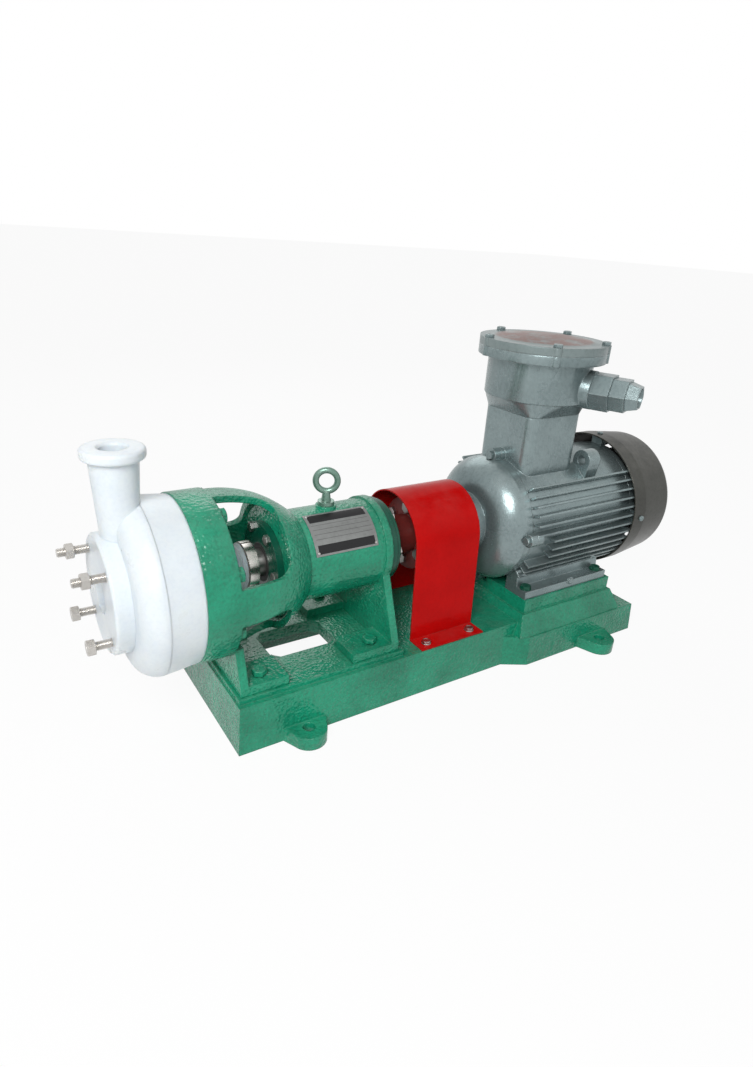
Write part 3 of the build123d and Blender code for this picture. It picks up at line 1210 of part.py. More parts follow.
# Motor frame: ribbed cylinder on two foot rails, with the terminal neck and lifting lugs
fin_pitch = FIN_SPAN / (FIN_COUNT - 1)
rail_drop = MOTOR_SEAT_H - SHAFT_H
with BuildPart() as motor_frame:
    with BuildSketch(SHAFT_PLANE):
        Polygon(*ring(FRAME_X, FRAME_END_X, FRAME_BORE_R - 12.0, FRAME_R))
    revolve(axis=SHAFT_AXIS)
    for number in range(FIN_COUNT):
        fin_angle = -FIN_SPAN / 2 + fin_pitch * number
        fin_start = FIN_START
        if abs(fin_angle + 8.0) < 1.5 * fin_pitch:
            fin_start = FIN_PAD_LEN
        with BuildSketch(across(FRAME_X + fin_start)):
            with PolarLocations((FRAME_R + FIN_R) / 2 - 1.0, 1, start_angle=fin_angle):
                Rectangle(FIN_R - FRAME_R + 2.0, FIN_T)
            with PolarLocations((FRAME_R + FIN_R) / 2 - 1.0, 1, start_angle=180.0 - fin_angle):
                Rectangle(FIN_R - FRAME_R + 2.0, FIN_T)
        extrude(amount=FRAME_LEN - fin_start - FIN_START)
    for side in (-1, 1):
        with BuildSketch(across(MOTOR_FOOT_X)):
            Polygon(
                (side * MOTOR_FOOT_HALF_W, rail_drop),
                (side * MOTOR_FOOT_HALF_W, rail_drop + MOTOR_FOOT_T),
                (side * (MOTOR_FOOT_HALF_W - 22.0), rail_drop + MOTOR_FOOT_T),
                (side * (MOTOR_FOOT_HALF_W - 26.0), rail_drop + MOTOR_FOOT_T + 30.0),
                (side * 60.0, rail_drop + MOTOR_FOOT_T + 30.0),
                (side * 60.0, rail_drop),
            )
        extrude(amount=MOTOR_FOOT_LEN)
    with BuildSketch(Plane.XY.offset(SHAFT_H + FRAME_BORE_R - 30.0)):
        with Locations((TERMINAL_X, 0)):
            RectangleRounded(BOX_NECK_SIDE, BOX_NECK_SIDE, BOX_NECK_CORNER)
    extrude(amount=BOX_SEAM_Z - SHAFT_H - FRAME_BORE_R + 30.0)
    # Lifting lugs, one on each side of the terminal neck
    for side in (-1, 1):
        with BuildSketch(across(LIFT_LUG_X)):
            with Locations((side * LIFT_LUG_Y, LIFT_LUG_Z - SHAFT_H)):
                Circle(LIFT_LUG_R)
            Polygon(
                (side * (LIFT_LUG_Y - LIFT_LUG_R), LIFT_LUG_Z - SHAFT_H),
                (side * (LIFT_LUG_Y + LIFT_LUG_R), LIFT_LUG_Z - SHAFT_H),
                (side * (LIFT_LUG_Y + LIFT_LUG_R * 0.6), LIFT_LUG_Z - SHAFT_H - 40.0),
                (side * (LIFT_LUG_Y - LIFT_LUG_R), LIFT_LUG_Z - SHAFT_H - 30.0),
            )
        extrude(amount=LIFT_LUG_T)
    # Bolt ears at the drive end
    with BuildSketch(across(FRAME_X)):
        with PolarLocations(EAR_PCR, 4):
            Circle(EAR_R)
    extrude(amount=EAR_LEN)
    # Bore, lead hole, lug holes and bolt holes
    with BuildSketch(SHAFT_PLANE):
        Polygon(*ring(FRAME_X, FRAME_END_X, 0, FRAME_BORE_R))
    revolve(axis=SHAFT_AXIS, mode=Mode.SUBTRACT)
    with BuildSketch(Plane.XY.offset(SHAFT_H)):
        with Locations((TERMINAL_X - LEAD_OFFSET, 0)):
            Circle(LEAD_HOLE_R)
    extrude(amount=BOX_SEAM_Z - SHAFT_H, mode=Mode.SUBTRACT)
    with BuildSketch(across(LIFT_LUG_X)):
        with Locations(
            (-LIFT_LUG_Y, LIFT_LUG_Z - SHAFT_H),
            (LIFT_LUG_Y, LIFT_LUG_Z - SHAFT_H),
        ):
            Circle(LIFT_HOLE_R)
    extrude(amount=LIFT_LUG_T, mode=Mode.SUBTRACT)
    with BuildSketch(across(FRAME_X)):
        with PolarLocations(EAR_PCR, 4):
            Circle(EAR_BOLT_R)
    extrude(amount=EAR_LEN, mode=Mode.SUBTRACT)
    with BuildSketch(across(FRAME_END_X)):
        with PolarLocations(NDE_BOLT_PCR, 4, start_angle=45):
            Circle(EAR_BOLT_R)
    extrude(amount=-EAR_LEN, mode=Mode.SUBTRACT)
    with BuildSketch(Plane.XY.offset(MOTOR_SEAT_H)):
        with Locations(*MOTOR_BOLT_PLACES):
            Circle(MOTOR_BOLT_R + BOLT_PLAY)
    extrude(amount=MOTOR_FOOT_T, mode=Mode.SUBTRACT)
    with BuildSketch(Plane.XY.offset(MOTOR_SEAT_H + MOTOR_FOOT_T)):
        with Locations(*MOTOR_BOLT_PLACES):
            Circle(MOTOR_BOLT_R * 2.0)
    extrude(amount=30.0, mode=Mode.SUBTRACT)
keep(motor_frame.part, "motor_frame")

# Drive-end shield, domed, with its bearing seat
with BuildPart() as drive_end_shield:
    with BuildSketch(SHAFT_PLANE):
        with BuildLine():
            dome = ThreePointArc(
                (SHIELD_FACE_X, SHIELD_BOSS_R + 6.0),
                (SHIELD_FACE_X + 13.0, SHIELD_R - 16.0),
                (MOTOR_X, SHIELD_R),
            )
            Polyline(
                dome @ 1,
                (FRAME_X, SHIELD_R),
                (FRAME_X, FRAME_BORE_R),
                (FRAME_X + 6.0, FRAME_BORE_R),
                (FRAME_X + 6.0, FRAME_BORE_R - 8.0),
                (MOTOR_X + 4.0, FRAME_BORE_R - 8.0),
                (MOTOR_X - 8.0, FRAME_BORE_R - 16.0),
                (SHIELD_FACE_X + 20.0, SHIELD_BOSS_R + 12.0),
                (SHIELD_FACE_X + 20.0, MOTOR_BEARING_R + 10.0),
                (DE_BEARING_END_X + 2.0, MOTOR_BEARING_R + 10.0),
                (DE_BEARING_END_X + 2.0, MOTOR_BEARING_R),
                (DE_BEARING_X, MOTOR_BEARING_R),
                (DE_BEARING_X, MOTOR_BEARING_R - MOTOR_RACE_T),
                (DE_BEARING_X - 4.0, MOTOR_BEARING_R - MOTOR_RACE_T),
                (DE_BEARING_X - 4.0, MOTOR_SHAFT_R + 1.0),
                (SHIELD_TIP_X, MOTOR_SHAFT_R + 1.0),
                (SHIELD_TIP_X, SHIELD_BOSS_R - 2.0),
                (SHIELD_FACE_X, SHIELD_BOSS_R),
                dome @ 0,
            )
        make_face()
    revolve(axis=SHAFT_AXIS)
    with BuildSketch(across(MOTOR_X)):
        with PolarLocations(EAR_PCR, 4):
            Circle(EAR_R)
    extrude(amount=SHIELD_RIM_T)
    with BuildSketch(across(MOTOR_X)):
        with PolarLocations(EAR_PCR, 4):
            Circle(EAR_BOLT_R + BOLT_PLAY)
    extrude(amount=SHIELD_RIM_T, mode=Mode.SUBTRACT)
    with BuildSketch(across(MOTOR_X)):
        with PolarLocations(EAR_PCR, 4):
            Circle(EAR_BOLT_R * 1.9)
    extrude(amount=-SHIELD_RIM_T, mode=Mode.SUBTRACT)
keep(drive_end_shield.part, "drive_end_shield")

# Fan-end shield with the four ears the fan cover is screwed to
nde_face_x = FRAME_END_X + NDE_SHIELD_T
with BuildPart() as fan_end_shield:
    with BuildSketch(SHAFT_PLANE):
        Polygon(
            (FRAME_END_X - 8.0, FRAME_BORE_R - 8.0),
            (FRAME_END_X - 8.0, FRAME_BORE_R),
            (FRAME_END_X, FRAME_BORE_R),
            (FRAME_END_X, FRAME_R),
            (nde_face_x, FRAME_R),
            (nde_face_x, MOTOR_BEARING_R + 20.0),
            (NDE_BEARING_END_X + 5.0, MOTOR_BEARING_R + 12.0),
            (NDE_BEARING_END_X + 5.0, MOTOR_JOURNAL_R + 1.0),
            (NDE_BEARING_END_X, MOTOR_JOURNAL_R + 1.0),
            (NDE_BEARING_END_X, MOTOR_BEARING_R),
            (FRAME_END_X - 2.0, MOTOR_BEARING_R),
            (FRAME_END_X - 2.0, MOTOR_BEARING_R + 10.0),
            (FRAME_END_X + 4.0, MOTOR_BEARING_R + 20.0),
            (FRAME_END_X + 4.0, FRAME_BORE_R - 8.0),
        )
    revolve(axis=SHAFT_AXIS)
    with BuildSketch(across(FRAME_END_X + COVER_EAR_IN)):
        Circle(FAN_COVER_R - FAN_COVER_T)
        Circle(FRAME_R - 3.0, mode=Mode.SUBTRACT)
        Rectangle(3 * FAN_COVER_R, COVER_EAR_W, mode=Mode.INTERSECT)
    extrude(amount=NDE_SHIELD_T)
    with BuildSketch(across(FRAME_END_X + COVER_EAR_IN)):
        Circle(FAN_COVER_R - FAN_COVER_T)
        Circle(FRAME_R - 3.0, mode=Mode.SUBTRACT)
        Rectangle(COVER_EAR_W, 3 * FAN_COVER_R, mode=Mode.INTERSECT)
    extrude(amount=NDE_SHIELD_T)
    with BuildSketch(across(nde_face_x)):
        with PolarLocations(NDE_BOLT_PCR, 4, start_angle=45):
            Circle(EAR_BOLT_R + BOLT_PLAY)
    extrude(amount=-NDE_SHIELD_T, mode=Mode.SUBTRACT)
    for quarter in range(4):
        turn = radians(90.0 * quarter)
        outward = (0, cos(turn), sin(turn))
        face = (FAN_SCREW_X, FAN_COVER_R * cos(turn), SHAFT_H + FAN_COVER_R * sin(turn))
        with BuildSketch(Plane(origin=face, x_dir=(1, 0, 0), z_dir=outward)):
            Circle(FAN_SCREW_R)
        extrude(amount=-FAN_SCREW_LEN, mode=Mode.SUBTRACT)
keep(fan_end_shield.part, "fan_end_shield")

with BuildPart() as end_shield_bolts:
    with BuildSketch(across(MOTOR_X)):
        with PolarLocations(EAR_PCR, 4):
            Circle(EAR_BOLT_R)
    extrude(amount=SHIELD_RIM_T + EAR_LEN)
    with BuildSketch(across(MOTOR_X)):
        with PolarLocations(EAR_PCR, 4):
            RegularPolygon(EAR_BOLT_R * 1.6, 6, major_radius=False)
    extrude(amount=-EAR_BOLT_R * 1.3)
    with BuildSketch(across(nde_face_x)):
        with PolarLocations(NDE_BOLT_PCR, 4, start_angle=45):
            Circle(EAR_BOLT_R)
    extrude(amount=-(NDE_SHIELD_T + EAR_LEN))
    with BuildSketch(across(nde_face_x)):
        with PolarLocations(NDE_BOLT_PCR, 4, start_angle=45):
            RegularPolygon(EAR_BOLT_R * 1.6, 6, major_radius=False)
    extrude(amount=EAR_BOLT_R * 1.3)
keep(end_shield_bolts.part, "end_shield_bolts")

# Stator and rotor
with BuildPart() as stator_core:
    with BuildSketch(SHAFT_PLANE):
        Polygon(*ring(STATOR_X, STATOR_END_X, STATOR_BORE_R, STATOR_R))
    revolve(axis=SHAFT_AXIS)
keep(stator_core.part, "stator_core")

winding_mid_r = (STATOR_BORE_R + STATOR_R) / 2
with BuildPart() as stator_windings:
    for face_x, outward in ((STATOR_X, -1), (STATOR_END_X, 1)):
        with BuildSketch(SHAFT_PLANE):
            Polygon(
                (face_x, winding_mid_r - 11.0),
                (face_x + outward * WINDING_T * 0.7, winding_mid_r - 11.0),
                (face_x + outward * WINDING_T, winding_mid_r - 6.0),
                (face_x + outward * WINDING_T, winding_mid_r + 6.0),
                (face_x + outward * WINDING_T * 0.7, winding_mid_r + 11.0),
                (face_x, winding_mid_r + 11.0),
            )
        revolve(axis=SHAFT_AXIS)
keep(stator_windings.part, "stator_windings")

with BuildPart() as rotor_core:
    with BuildSketch(SHAFT_PLANE):
        Polygon(*ring(STATOR_X, STATOR_END_X, MOTOR_CORE_R, STATOR_BORE_R - AIR_GAP))
        Polygon(*ring(STATOR_X - 8.0, STATOR_END_X + 8.0, MOTOR_CORE_R + 18.0, STATOR_BORE_R - 4.0))
    revolve(axis=SHAFT_AXIS)
keep(rotor_core.part, "rotor_core")

with BuildPart() as motor_shaft:
    with BuildSketch(SHAFT_PLANE):
        Polygon(*ring(motor_shaft_x, DE_BEARING_X - 4.0, 0, MOTOR_SHAFT_R))
        Polygon(*ring(DE_BEARING_X - 4.0, DE_BEARING_END_X + 2.0, 0, MOTOR_JOURNAL_R))
        Polygon(*ring(DE_BEARING_END_X + 2.0, FRAME_END_X - 2.0, 0, MOTOR_CORE_R))
        Polygon(*ring(FRAME_END_X - 2.0, NDE_BEARING_END_X + 5.0, 0, MOTOR_JOURNAL_R))
        Polygon(*ring(NDE_BEARING_END_X + 5.0, FAN_X + FAN_W + 4.0, 0, MOTOR_TAIL_R))
    revolve(axis=SHAFT_AXIS)
    with BuildSketch(Plane.XY.offset(SHAFT_H + MOTOR_SHAFT_R - KEY_H)):
        with Locations((motor_key_x + key_len / 2, 0)):
            Rectangle(key_len, KEY_W)
    extrude(amount=2 * KEY_H, mode=Mode.SUBTRACT)
keep(motor_shaft.part, "motor_shaft")

keep(
    race_pair(
        DE_BEARING_X, FRAME_END_X, MOTOR_BEARING_T, MOTOR_BEARING_R - MOTOR_RACE_T, MOTOR_BEARING_R
    ),
    "motor_bearing_outer_races",
)
keep(
    race_pair(
        DE_BEARING_X, FRAME_END_X, MOTOR_BEARING_T, MOTOR_JOURNAL_R, MOTOR_JOURNAL_R + MOTOR_RACE_T
    ),
    "motor_bearing_inner_races",
)
keep(
    caged_balls(
        DE_BEARING_X, FRAME_END_X, MOTOR_BEARING_T, MOTOR_JOURNAL_R, MOTOR_BEARING_R, MOTOR_RACE_T
    ),
    "motor_bearing_balls",
)

# Fan behind the motor
with BuildPart() as cooling_fan:
    with BuildSketch(SHAFT_PLANE):
        Polygon(
            (FAN_X, MOTOR_TAIL_R),
            (FAN_X, FAN_R),
            (FAN_X + FAN_BLADE_T, FAN_R),
            (FAN_X + FAN_BLADE_T, FAN_HUB_R),
            (FAN_X + FAN_W, FAN_HUB_R - 2.0),
            (FAN_X + FAN_W, MOTOR_TAIL_R),
        )
    revolve(axis=SHAFT_AXIS)
    with BuildSketch(across(FAN_X + FAN_BLADE_T)):
        with PolarLocations((FAN_R + FAN_HUB_R) / 2 - 1.5, FAN_BLADES):
            Rectangle(FAN_R - FAN_HUB_R, FAN_BLADE_T)
    extrude(amount=FAN_W - 2 * FAN_BLADE_T)
keep(cooling_fan.part, "cooling_fan")

# Fan cover, pressed from sheet, with a ring-slot grille
cover_straight_x = FAN_COVER_X + FAN_COVER_STRAIGHT
cover_turn_x = FAN_COVER_END_X - FAN_COVER_ROUND
round_mid = FAN_COVER_ROUND * cos(radians(45.0))
face_r = FAN_COVER_END_R - FAN_COVER_ROUND
inner_round = FAN_COVER_ROUND - FAN_COVER_T
inner_mid = inner_round * cos(radians(45.0))
with BuildPart() as fan_cover:
    with BuildSketch(SHAFT_PLANE):
        with BuildLine():
            Polyline(
                (FAN_COVER_X, FAN_COVER_R - FAN_COVER_T),
                (FAN_COVER_X, FAN_COVER_R),
                (cover_straight_x, FAN_COVER_R),
                (cover_turn_x, FAN_COVER_END_R),
            )
            ThreePointArc(
                (cover_turn_x, FAN_COVER_END_R),
                (cover_turn_x + round_mid, face_r + round_mid),
                (FAN_COVER_END_X, face_r),
            )
            Polyline(
                (FAN_COVER_END_X, face_r),
                (FAN_COVER_END_X, 0),
                (FAN_COVER_END_X - FAN_COVER_T, 0),
                (FAN_COVER_END_X - FAN_COVER_T, face_r),
            )
            ThreePointArc(
                (FAN_COVER_END_X - FAN_COVER_T, face_r),
                (cover_turn_x + inner_mid, face_r + inner_mid),
                (cover_turn_x, FAN_COVER_END_R - FAN_COVER_T),
            )
            Polyline(
                (cover_turn_x, FAN_COVER_END_R - FAN_COVER_T),
                (cover_straight_x, FAN_COVER_R - FAN_COVER_T),
                (FAN_COVER_X, FAN_COVER_R - FAN_COVER_T),
            )
        make_face()
    revolve(axis=SHAFT_AXIS)
    with BuildSketch(across(FAN_COVER_END_X)):
        for number in range(GRILLE_RINGS, 0, -1):
            Circle(GRILLE_PITCH * number + GRILLE_SLOT + 4.0)
            Circle(GRILLE_PITCH * number + 4.0, mode=Mode.SUBTRACT)
        Rectangle(2 * FAN_COVER_R, GRILLE_SPOKE, mode=Mode.SUBTRACT)
        Rectangle(GRILLE_SPOKE, 2 * FAN_COVER_R, mode=Mode.SUBTRACT)
    extrude(amount=-2 * FAN_COVER_T, mode=Mode.SUBTRACT)
    for quarter in range(4):
        turn = radians(90.0 * quarter)
        outward = (0, cos(turn), sin(turn))
        face = (FAN_SCREW_X, FAN_COVER_R * cos(turn), SHAFT_H + FAN_COVER_R * sin(turn))
        with BuildSketch(Plane(origin=face, x_dir=(1, 0, 0), z_dir=outward)):
            Circle(FAN_SCREW_R)
        extrude(amount=-2 * FAN_COVER_T, mode=Mode.SUBTRACT)
keep(fan_cover.part, "fan_cover")

with BuildPart() as fan_cover_screws:
    for quarter in range(4):
        turn = radians(90.0 * quarter)
        outward = (0, cos(turn), sin(turn))
        face = (FAN_SCREW_X, FAN_COVER_R * cos(turn), SHAFT_H + FAN_COVER_R * sin(turn))
        with BuildSketch(Plane(origin=face, x_dir=(1, 0, 0), z_dir=outward)):
            Circle(FAN_SCREW_R)
        extrude(amount=-FAN_SCREW_LEN)
        with BuildSketch(Plane(origin=face, x_dir=(1, 0, 0), z_dir=outward)):
            Circle(FAN_SCREW_R * 1.8)
        extrude(amount=FAN_SCREW_R, taper=12)
keep(fan_cover_screws.part, "fan_cover_screws")

with BuildPart() as motor_foot_bolts:
    with BuildSketch(Plane.XY.offset(MOTOR_SEAT_H + MOTOR_FOOT_T)):
        with Locations(*MOTOR_BOLT_PLACES):
            Circle(MOTOR_BOLT_R)
    extrude(amount=-(MOTOR_FOOT_T + FOOT_BOLT_DEPTH))
    with BuildSketch(Plane.XY.offset(MOTOR_SEAT_H + MOTOR_FOOT_T)):
        with Locations(*MOTOR_BOLT_PLACES):
            RegularPolygon(MOTOR_BOLT_R * 1.6, 6, major_radius=False)
    extrude(amount=MOTOR_BOLT_R * 1.3)
keep(motor_foot_bolts.part, "motor_foot_bolts")

# Terminal box: square foot drawn into a round body, a flange and the gland boss
box_floor_z = BOX_SEAM_Z + BOX_FLOOR_T
with BuildPart() as terminal_box:
    with BuildSketch(Plane.XY.offset(BOX_SEAM_Z)):
        with Locations((TERMINAL_X, 0)):
            RectangleRounded(BOX_NECK_SIDE, BOX_NECK_SIDE, BOX_NECK_CORNER)
    with BuildSketch(Plane.XY.offset(BOX_ROUND_Z)):
        with Locations((TERMINAL_X, 0)):
            RectangleRounded(2 * BOX_R - 6.0, 2 * BOX_R - 6.0, BOX_R - 8.0)
    loft()
    with BuildSketch(Plane.XY.offset(BOX_ROUND_Z)):
        with Locations((TERMINAL_X, 0)):
            Circle(BOX_R)
    extrude(amount=BOX_FLANGE_Z - BOX_ROUND_Z)
    with BuildSketch(Plane.XY.offset(BOX_FLANGE_Z)):
        with Locations((TERMINAL_X, 0)):
            Circle(LID_R)
            with PolarLocations(LID_BOLT_PCR, LID_BOLT_COUNT, start_angle=LID_BOLT_START):
                Circle(LID_EAR_R)
    extrude(amount=LID_SEAT_Z - BOX_FLANGE_Z)
    with BuildSketch(GLAND_PLANE.offset(BOX_R - 2 * BOX_WALL)):
        Circle(GLAND_BOSS_R)
    extrude(amount=GLAND_BOSS_END - BOX_R + 2 * BOX_WALL)
    with BuildSketch(Plane.XY.offset(box_floor_z)):
        with Locations((TERMINAL_X, 0)):
            Circle(BOX_NECK_SIDE / 2)
    extrude(amount=LID_SEAT_Z - box_floor_z, mode=Mode.SUBTRACT)
    with BuildSketch(Plane.XY.offset(BOX_ROUND_Z + BOX_WALL)):
        with Locations((TERMINAL_X, 0)):
            Circle(BOX_R - BOX_WALL)
    extrude(amount=LID_SEAT_Z - BOX_ROUND_Z - BOX_WALL, mode=Mode.SUBTRACT)
    with BuildSketch(Plane.XY.offset(BOX_SEAM_Z)):
        with Locations((TERMINAL_X - LEAD_OFFSET, 0)):
            Circle(LEAD_HOLE_R)
    extrude(amount=BOX_FLOOR_T, mode=Mode.SUBTRACT)
    with BuildSketch(GLAND_PLANE.offset(BOX_R - 3 * BOX_WALL)):
        Circle(GLAND_BORE_R)
    extrude(amount=GLAND_BOSS_END - BOX_R + 3 * BOX_WALL, mode=Mode.SUBTRACT)
    with BuildSketch(Plane.XY.offset(BOX_FLANGE_Z)):
        with Locations((TERMINAL_X, 0)):
            with PolarLocations(LID_BOLT_PCR, LID_BOLT_COUNT, start_angle=LID_BOLT_START):
                Circle(LID_BOLT_R)
    extrude(amount=LID_SEAT_Z - BOX_FLANGE_Z, mode=Mode.SUBTRACT)
keep(terminal_box.part, "terminal_box")

lid_top_z = LID_SEAT_Z + LID_PLATE_T
dome_sweep_r = (DOME_R**2 + DOME_H**2) / (2 * DOME_H)
dome_angle = asin(DOME_R / dome_sweep_r)
with BuildPart() as terminal_box_lid:
    with BuildSketch(Plane.XY.offset(LID_SEAT_Z)):
        with Locations((TERMINAL_X, 0)):
            Circle(LID_R)
            with PolarLocations(LID_BOLT_PCR, LID_BOLT_COUNT, start_angle=LID_BOLT_START):
                Circle(LID_EAR_R)
    extrude(amount=LID_PLATE_T)
    with BuildSketch(Plane(origin=(TERMINAL_X, 0, lid_top_z), x_dir=(1, 0, 0), z_dir=(0, -1, 0))):
        with BuildLine():
            crown = ThreePointArc(
                (DOME_R, 0),
                (dome_sweep_r * sin(dome_angle / 2), DOME_H - dome_sweep_r * (1 - cos(dome_angle / 2))),
                (0, DOME_H),
            )
            Polyline(crown @ 1, (0, 0), crown @ 0)
        make_face()
    revolve(axis=TERMINAL_AXIS)
    with BuildSketch(Plane.XY.offset(LID_SEAT_Z)):
        with Locations((TERMINAL_X, 0)):
            with PolarLocations(LID_BOLT_PCR, LID_BOLT_COUNT, start_angle=LID_BOLT_START):
                Circle(LID_BOLT_R + BOLT_PLAY)
    extrude(amount=LID_PLATE_T, mode=Mode.SUBTRACT)
keep(terminal_box_lid.part, "terminal_box_lid")

with BuildPart() as lid_bolts:
    with BuildSketch(Plane.XY.offset(lid_top_z)):
        with Locations((TERMINAL_X, 0)):
            with PolarLocations(LID_BOLT_PCR, LID_BOLT_COUNT, start_angle=LID_BOLT_START):
                Circle(LID_BOLT_R)
    extrude(amount=-(lid_top_z - BOX_FLANGE_Z))
    with BuildSketch(Plane.XY.offset(lid_top_z)):
        with Locations((TERMINAL_X, 0)):
            with PolarLocations(LID_BOLT_PCR, LID_BOLT_COUNT, start_angle=LID_BOLT_START):
                RegularPolygon(LID_BOLT_R * 1.6, 6, major_radius=False)
    extrude(amount=LID_BOLT_R * 1.3)
keep(lid_bolts.part, "lid_bolts")

with BuildPart() as terminal_board:
    with BuildSketch(Plane.XY.offset(box_floor_z)):
        with Locations((TERMINAL_X + BOARD_OFFSET, 0)):
            RectangleRounded(BOARD_W, BOARD_LEN, 4.0)
    extrude(amount=BOARD_T)
keep(terminal_board.part, "terminal_board")

with BuildPart() as terminal_posts:
    with BuildSketch(Plane.XY.offset(box_floor_z + BOARD_T)):
        with Locations((TERMINAL_X + BOARD_OFFSET, 0)):
            with GridLocations(POST_PITCH_Y, POST_PITCH_X, 2, 3):
                Circle(POST_R)
    extrude(amount=POST_LEN)
    with BuildSketch(Plane.XY.offset(box_floor_z + BOARD_T)):
        with Locations((TERMINAL_X + BOARD_OFFSET, 0)):
            with GridLocations(POST_PITCH_Y, POST_PITCH_X, 2, 3):
                RegularPolygon(POST_R * 1.7, 6, major_radius=False)
    extrude(amount=POST_R * 1.4)
keep(terminal_posts.part, "terminal_posts")

# Cable gland on the side of the terminal box
gland_nut_at = GLAND_BOSS_END + GLAND_BODY_LEN
gland_cap_at = gland_nut_at + GLAND_NUT_LEN
with BuildPart() as cable_gland_body:
    with BuildSketch(GLAND_PLANE.offset(GLAND_BOSS_END)):
        RegularPolygon(GLAND_BODY_FLAT / 2, 6, major_radius=False, rotation=30)
        Circle(GLAND_BORE_R, mode=Mode.SUBTRACT)
    extrude(amount=GLAND_BODY_LEN)
keep(cable_gland_body.part, "cable_gland_body")

with BuildPart() as cable_gland_nut:
    with BuildSketch(GLAND_PLANE.offset(gland_nut_at)):
        RegularPolygon(GLAND_NUT_FLAT / 2, 6, major_radius=False, rotation=30)
        Circle(GLAND_BORE_R, mode=Mode.SUBTRACT)
    extrude(amount=GLAND_NUT_LEN)
keep(cable_gland_nut.part, "cable_gland_nut")

with BuildPart() as cable_gland_cap:
    with BuildSketch(GLAND_PLANE.offset(gland_cap_at)):
        RegularPolygon(GLAND_CAP_FLAT / 2, 6, major_radius=False, rotation=30)
        Circle(GLAND_BORE_R - 3.0, mode=Mode.SUBTRACT)
    extrude(amount=GLAND_CAP_LEN, taper=14)
    with BuildSketch(GLAND_PLANE.offset(gland_cap_at)):
        Circle(GLAND_BORE_R - 3.0)
    extrude(amount=GLAND_CAP_LEN, mode=Mode.SUBTRACT)
keep(cable_gland_cap.part, "cable_gland_cap")

with BuildPart() as gland_seal:
    with BuildSketch(GLAND_PLANE.offset(gland_cap_at - GLAND_SEAL_LEN)):
        Circle(GLAND_BORE_R)
        Circle(GLAND_SEAL_BORE_R, mode=Mode.SUBTRACT)
    extrude(amount=GLAND_SEAL_LEN)
keep(gland_seal.part, "gland_seal")
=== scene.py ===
"""Looks of an acid-resistant pump set: white wet end, green castings, red guard, grey motor."""

import logging
import math
from dataclasses import dataclass, field
from enum import Enum

import bmesh
import bpy
from mathutils import Matrix, Vector


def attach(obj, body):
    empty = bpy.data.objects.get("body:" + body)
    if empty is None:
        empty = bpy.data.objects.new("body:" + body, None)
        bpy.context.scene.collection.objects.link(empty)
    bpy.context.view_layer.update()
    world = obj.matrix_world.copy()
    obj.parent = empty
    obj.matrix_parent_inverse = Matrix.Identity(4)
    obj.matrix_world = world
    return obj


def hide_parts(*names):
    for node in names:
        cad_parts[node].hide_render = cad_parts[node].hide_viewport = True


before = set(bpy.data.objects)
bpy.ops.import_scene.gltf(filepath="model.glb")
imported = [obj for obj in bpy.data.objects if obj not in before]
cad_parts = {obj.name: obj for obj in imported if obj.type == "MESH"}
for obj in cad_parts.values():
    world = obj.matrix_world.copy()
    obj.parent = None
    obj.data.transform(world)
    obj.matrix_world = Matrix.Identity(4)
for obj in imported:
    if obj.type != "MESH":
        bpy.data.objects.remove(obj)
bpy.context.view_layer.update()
LOG = logging.getLogger("pump")

Colour = tuple[float, float, float]
Point = tuple[float, float, float]
Rows = list[list[tuple[float, float]]]
MM = 0.001
SHAFT_Z = 222.0 * MM
UP: Point = (0.0, 0.0, 1.0)
TO_MOTOR: Point = (1.0, 0.0, 0.0)
TO_PUMP: Point = (-1.0, 0.0, 0.0)
TO_NEAR: Point = (0.0, -1.0, 0.0)
WELD_REACH = 0.01 * MM
FLAT_ANGLE = math.radians(1.0)
SHARP_ANGLE = math.radians(35.0)
WHITE = (1.0, 1.0, 1.0, 1.0)


class Grain(Enum):
    """How the fine relief of a surface is made."""

    HAMMERED = "hammered"
    CAST = "cast"
    TURNED = "turned"
    MOULDED = "moulded"
    ROLLED = "rolled"


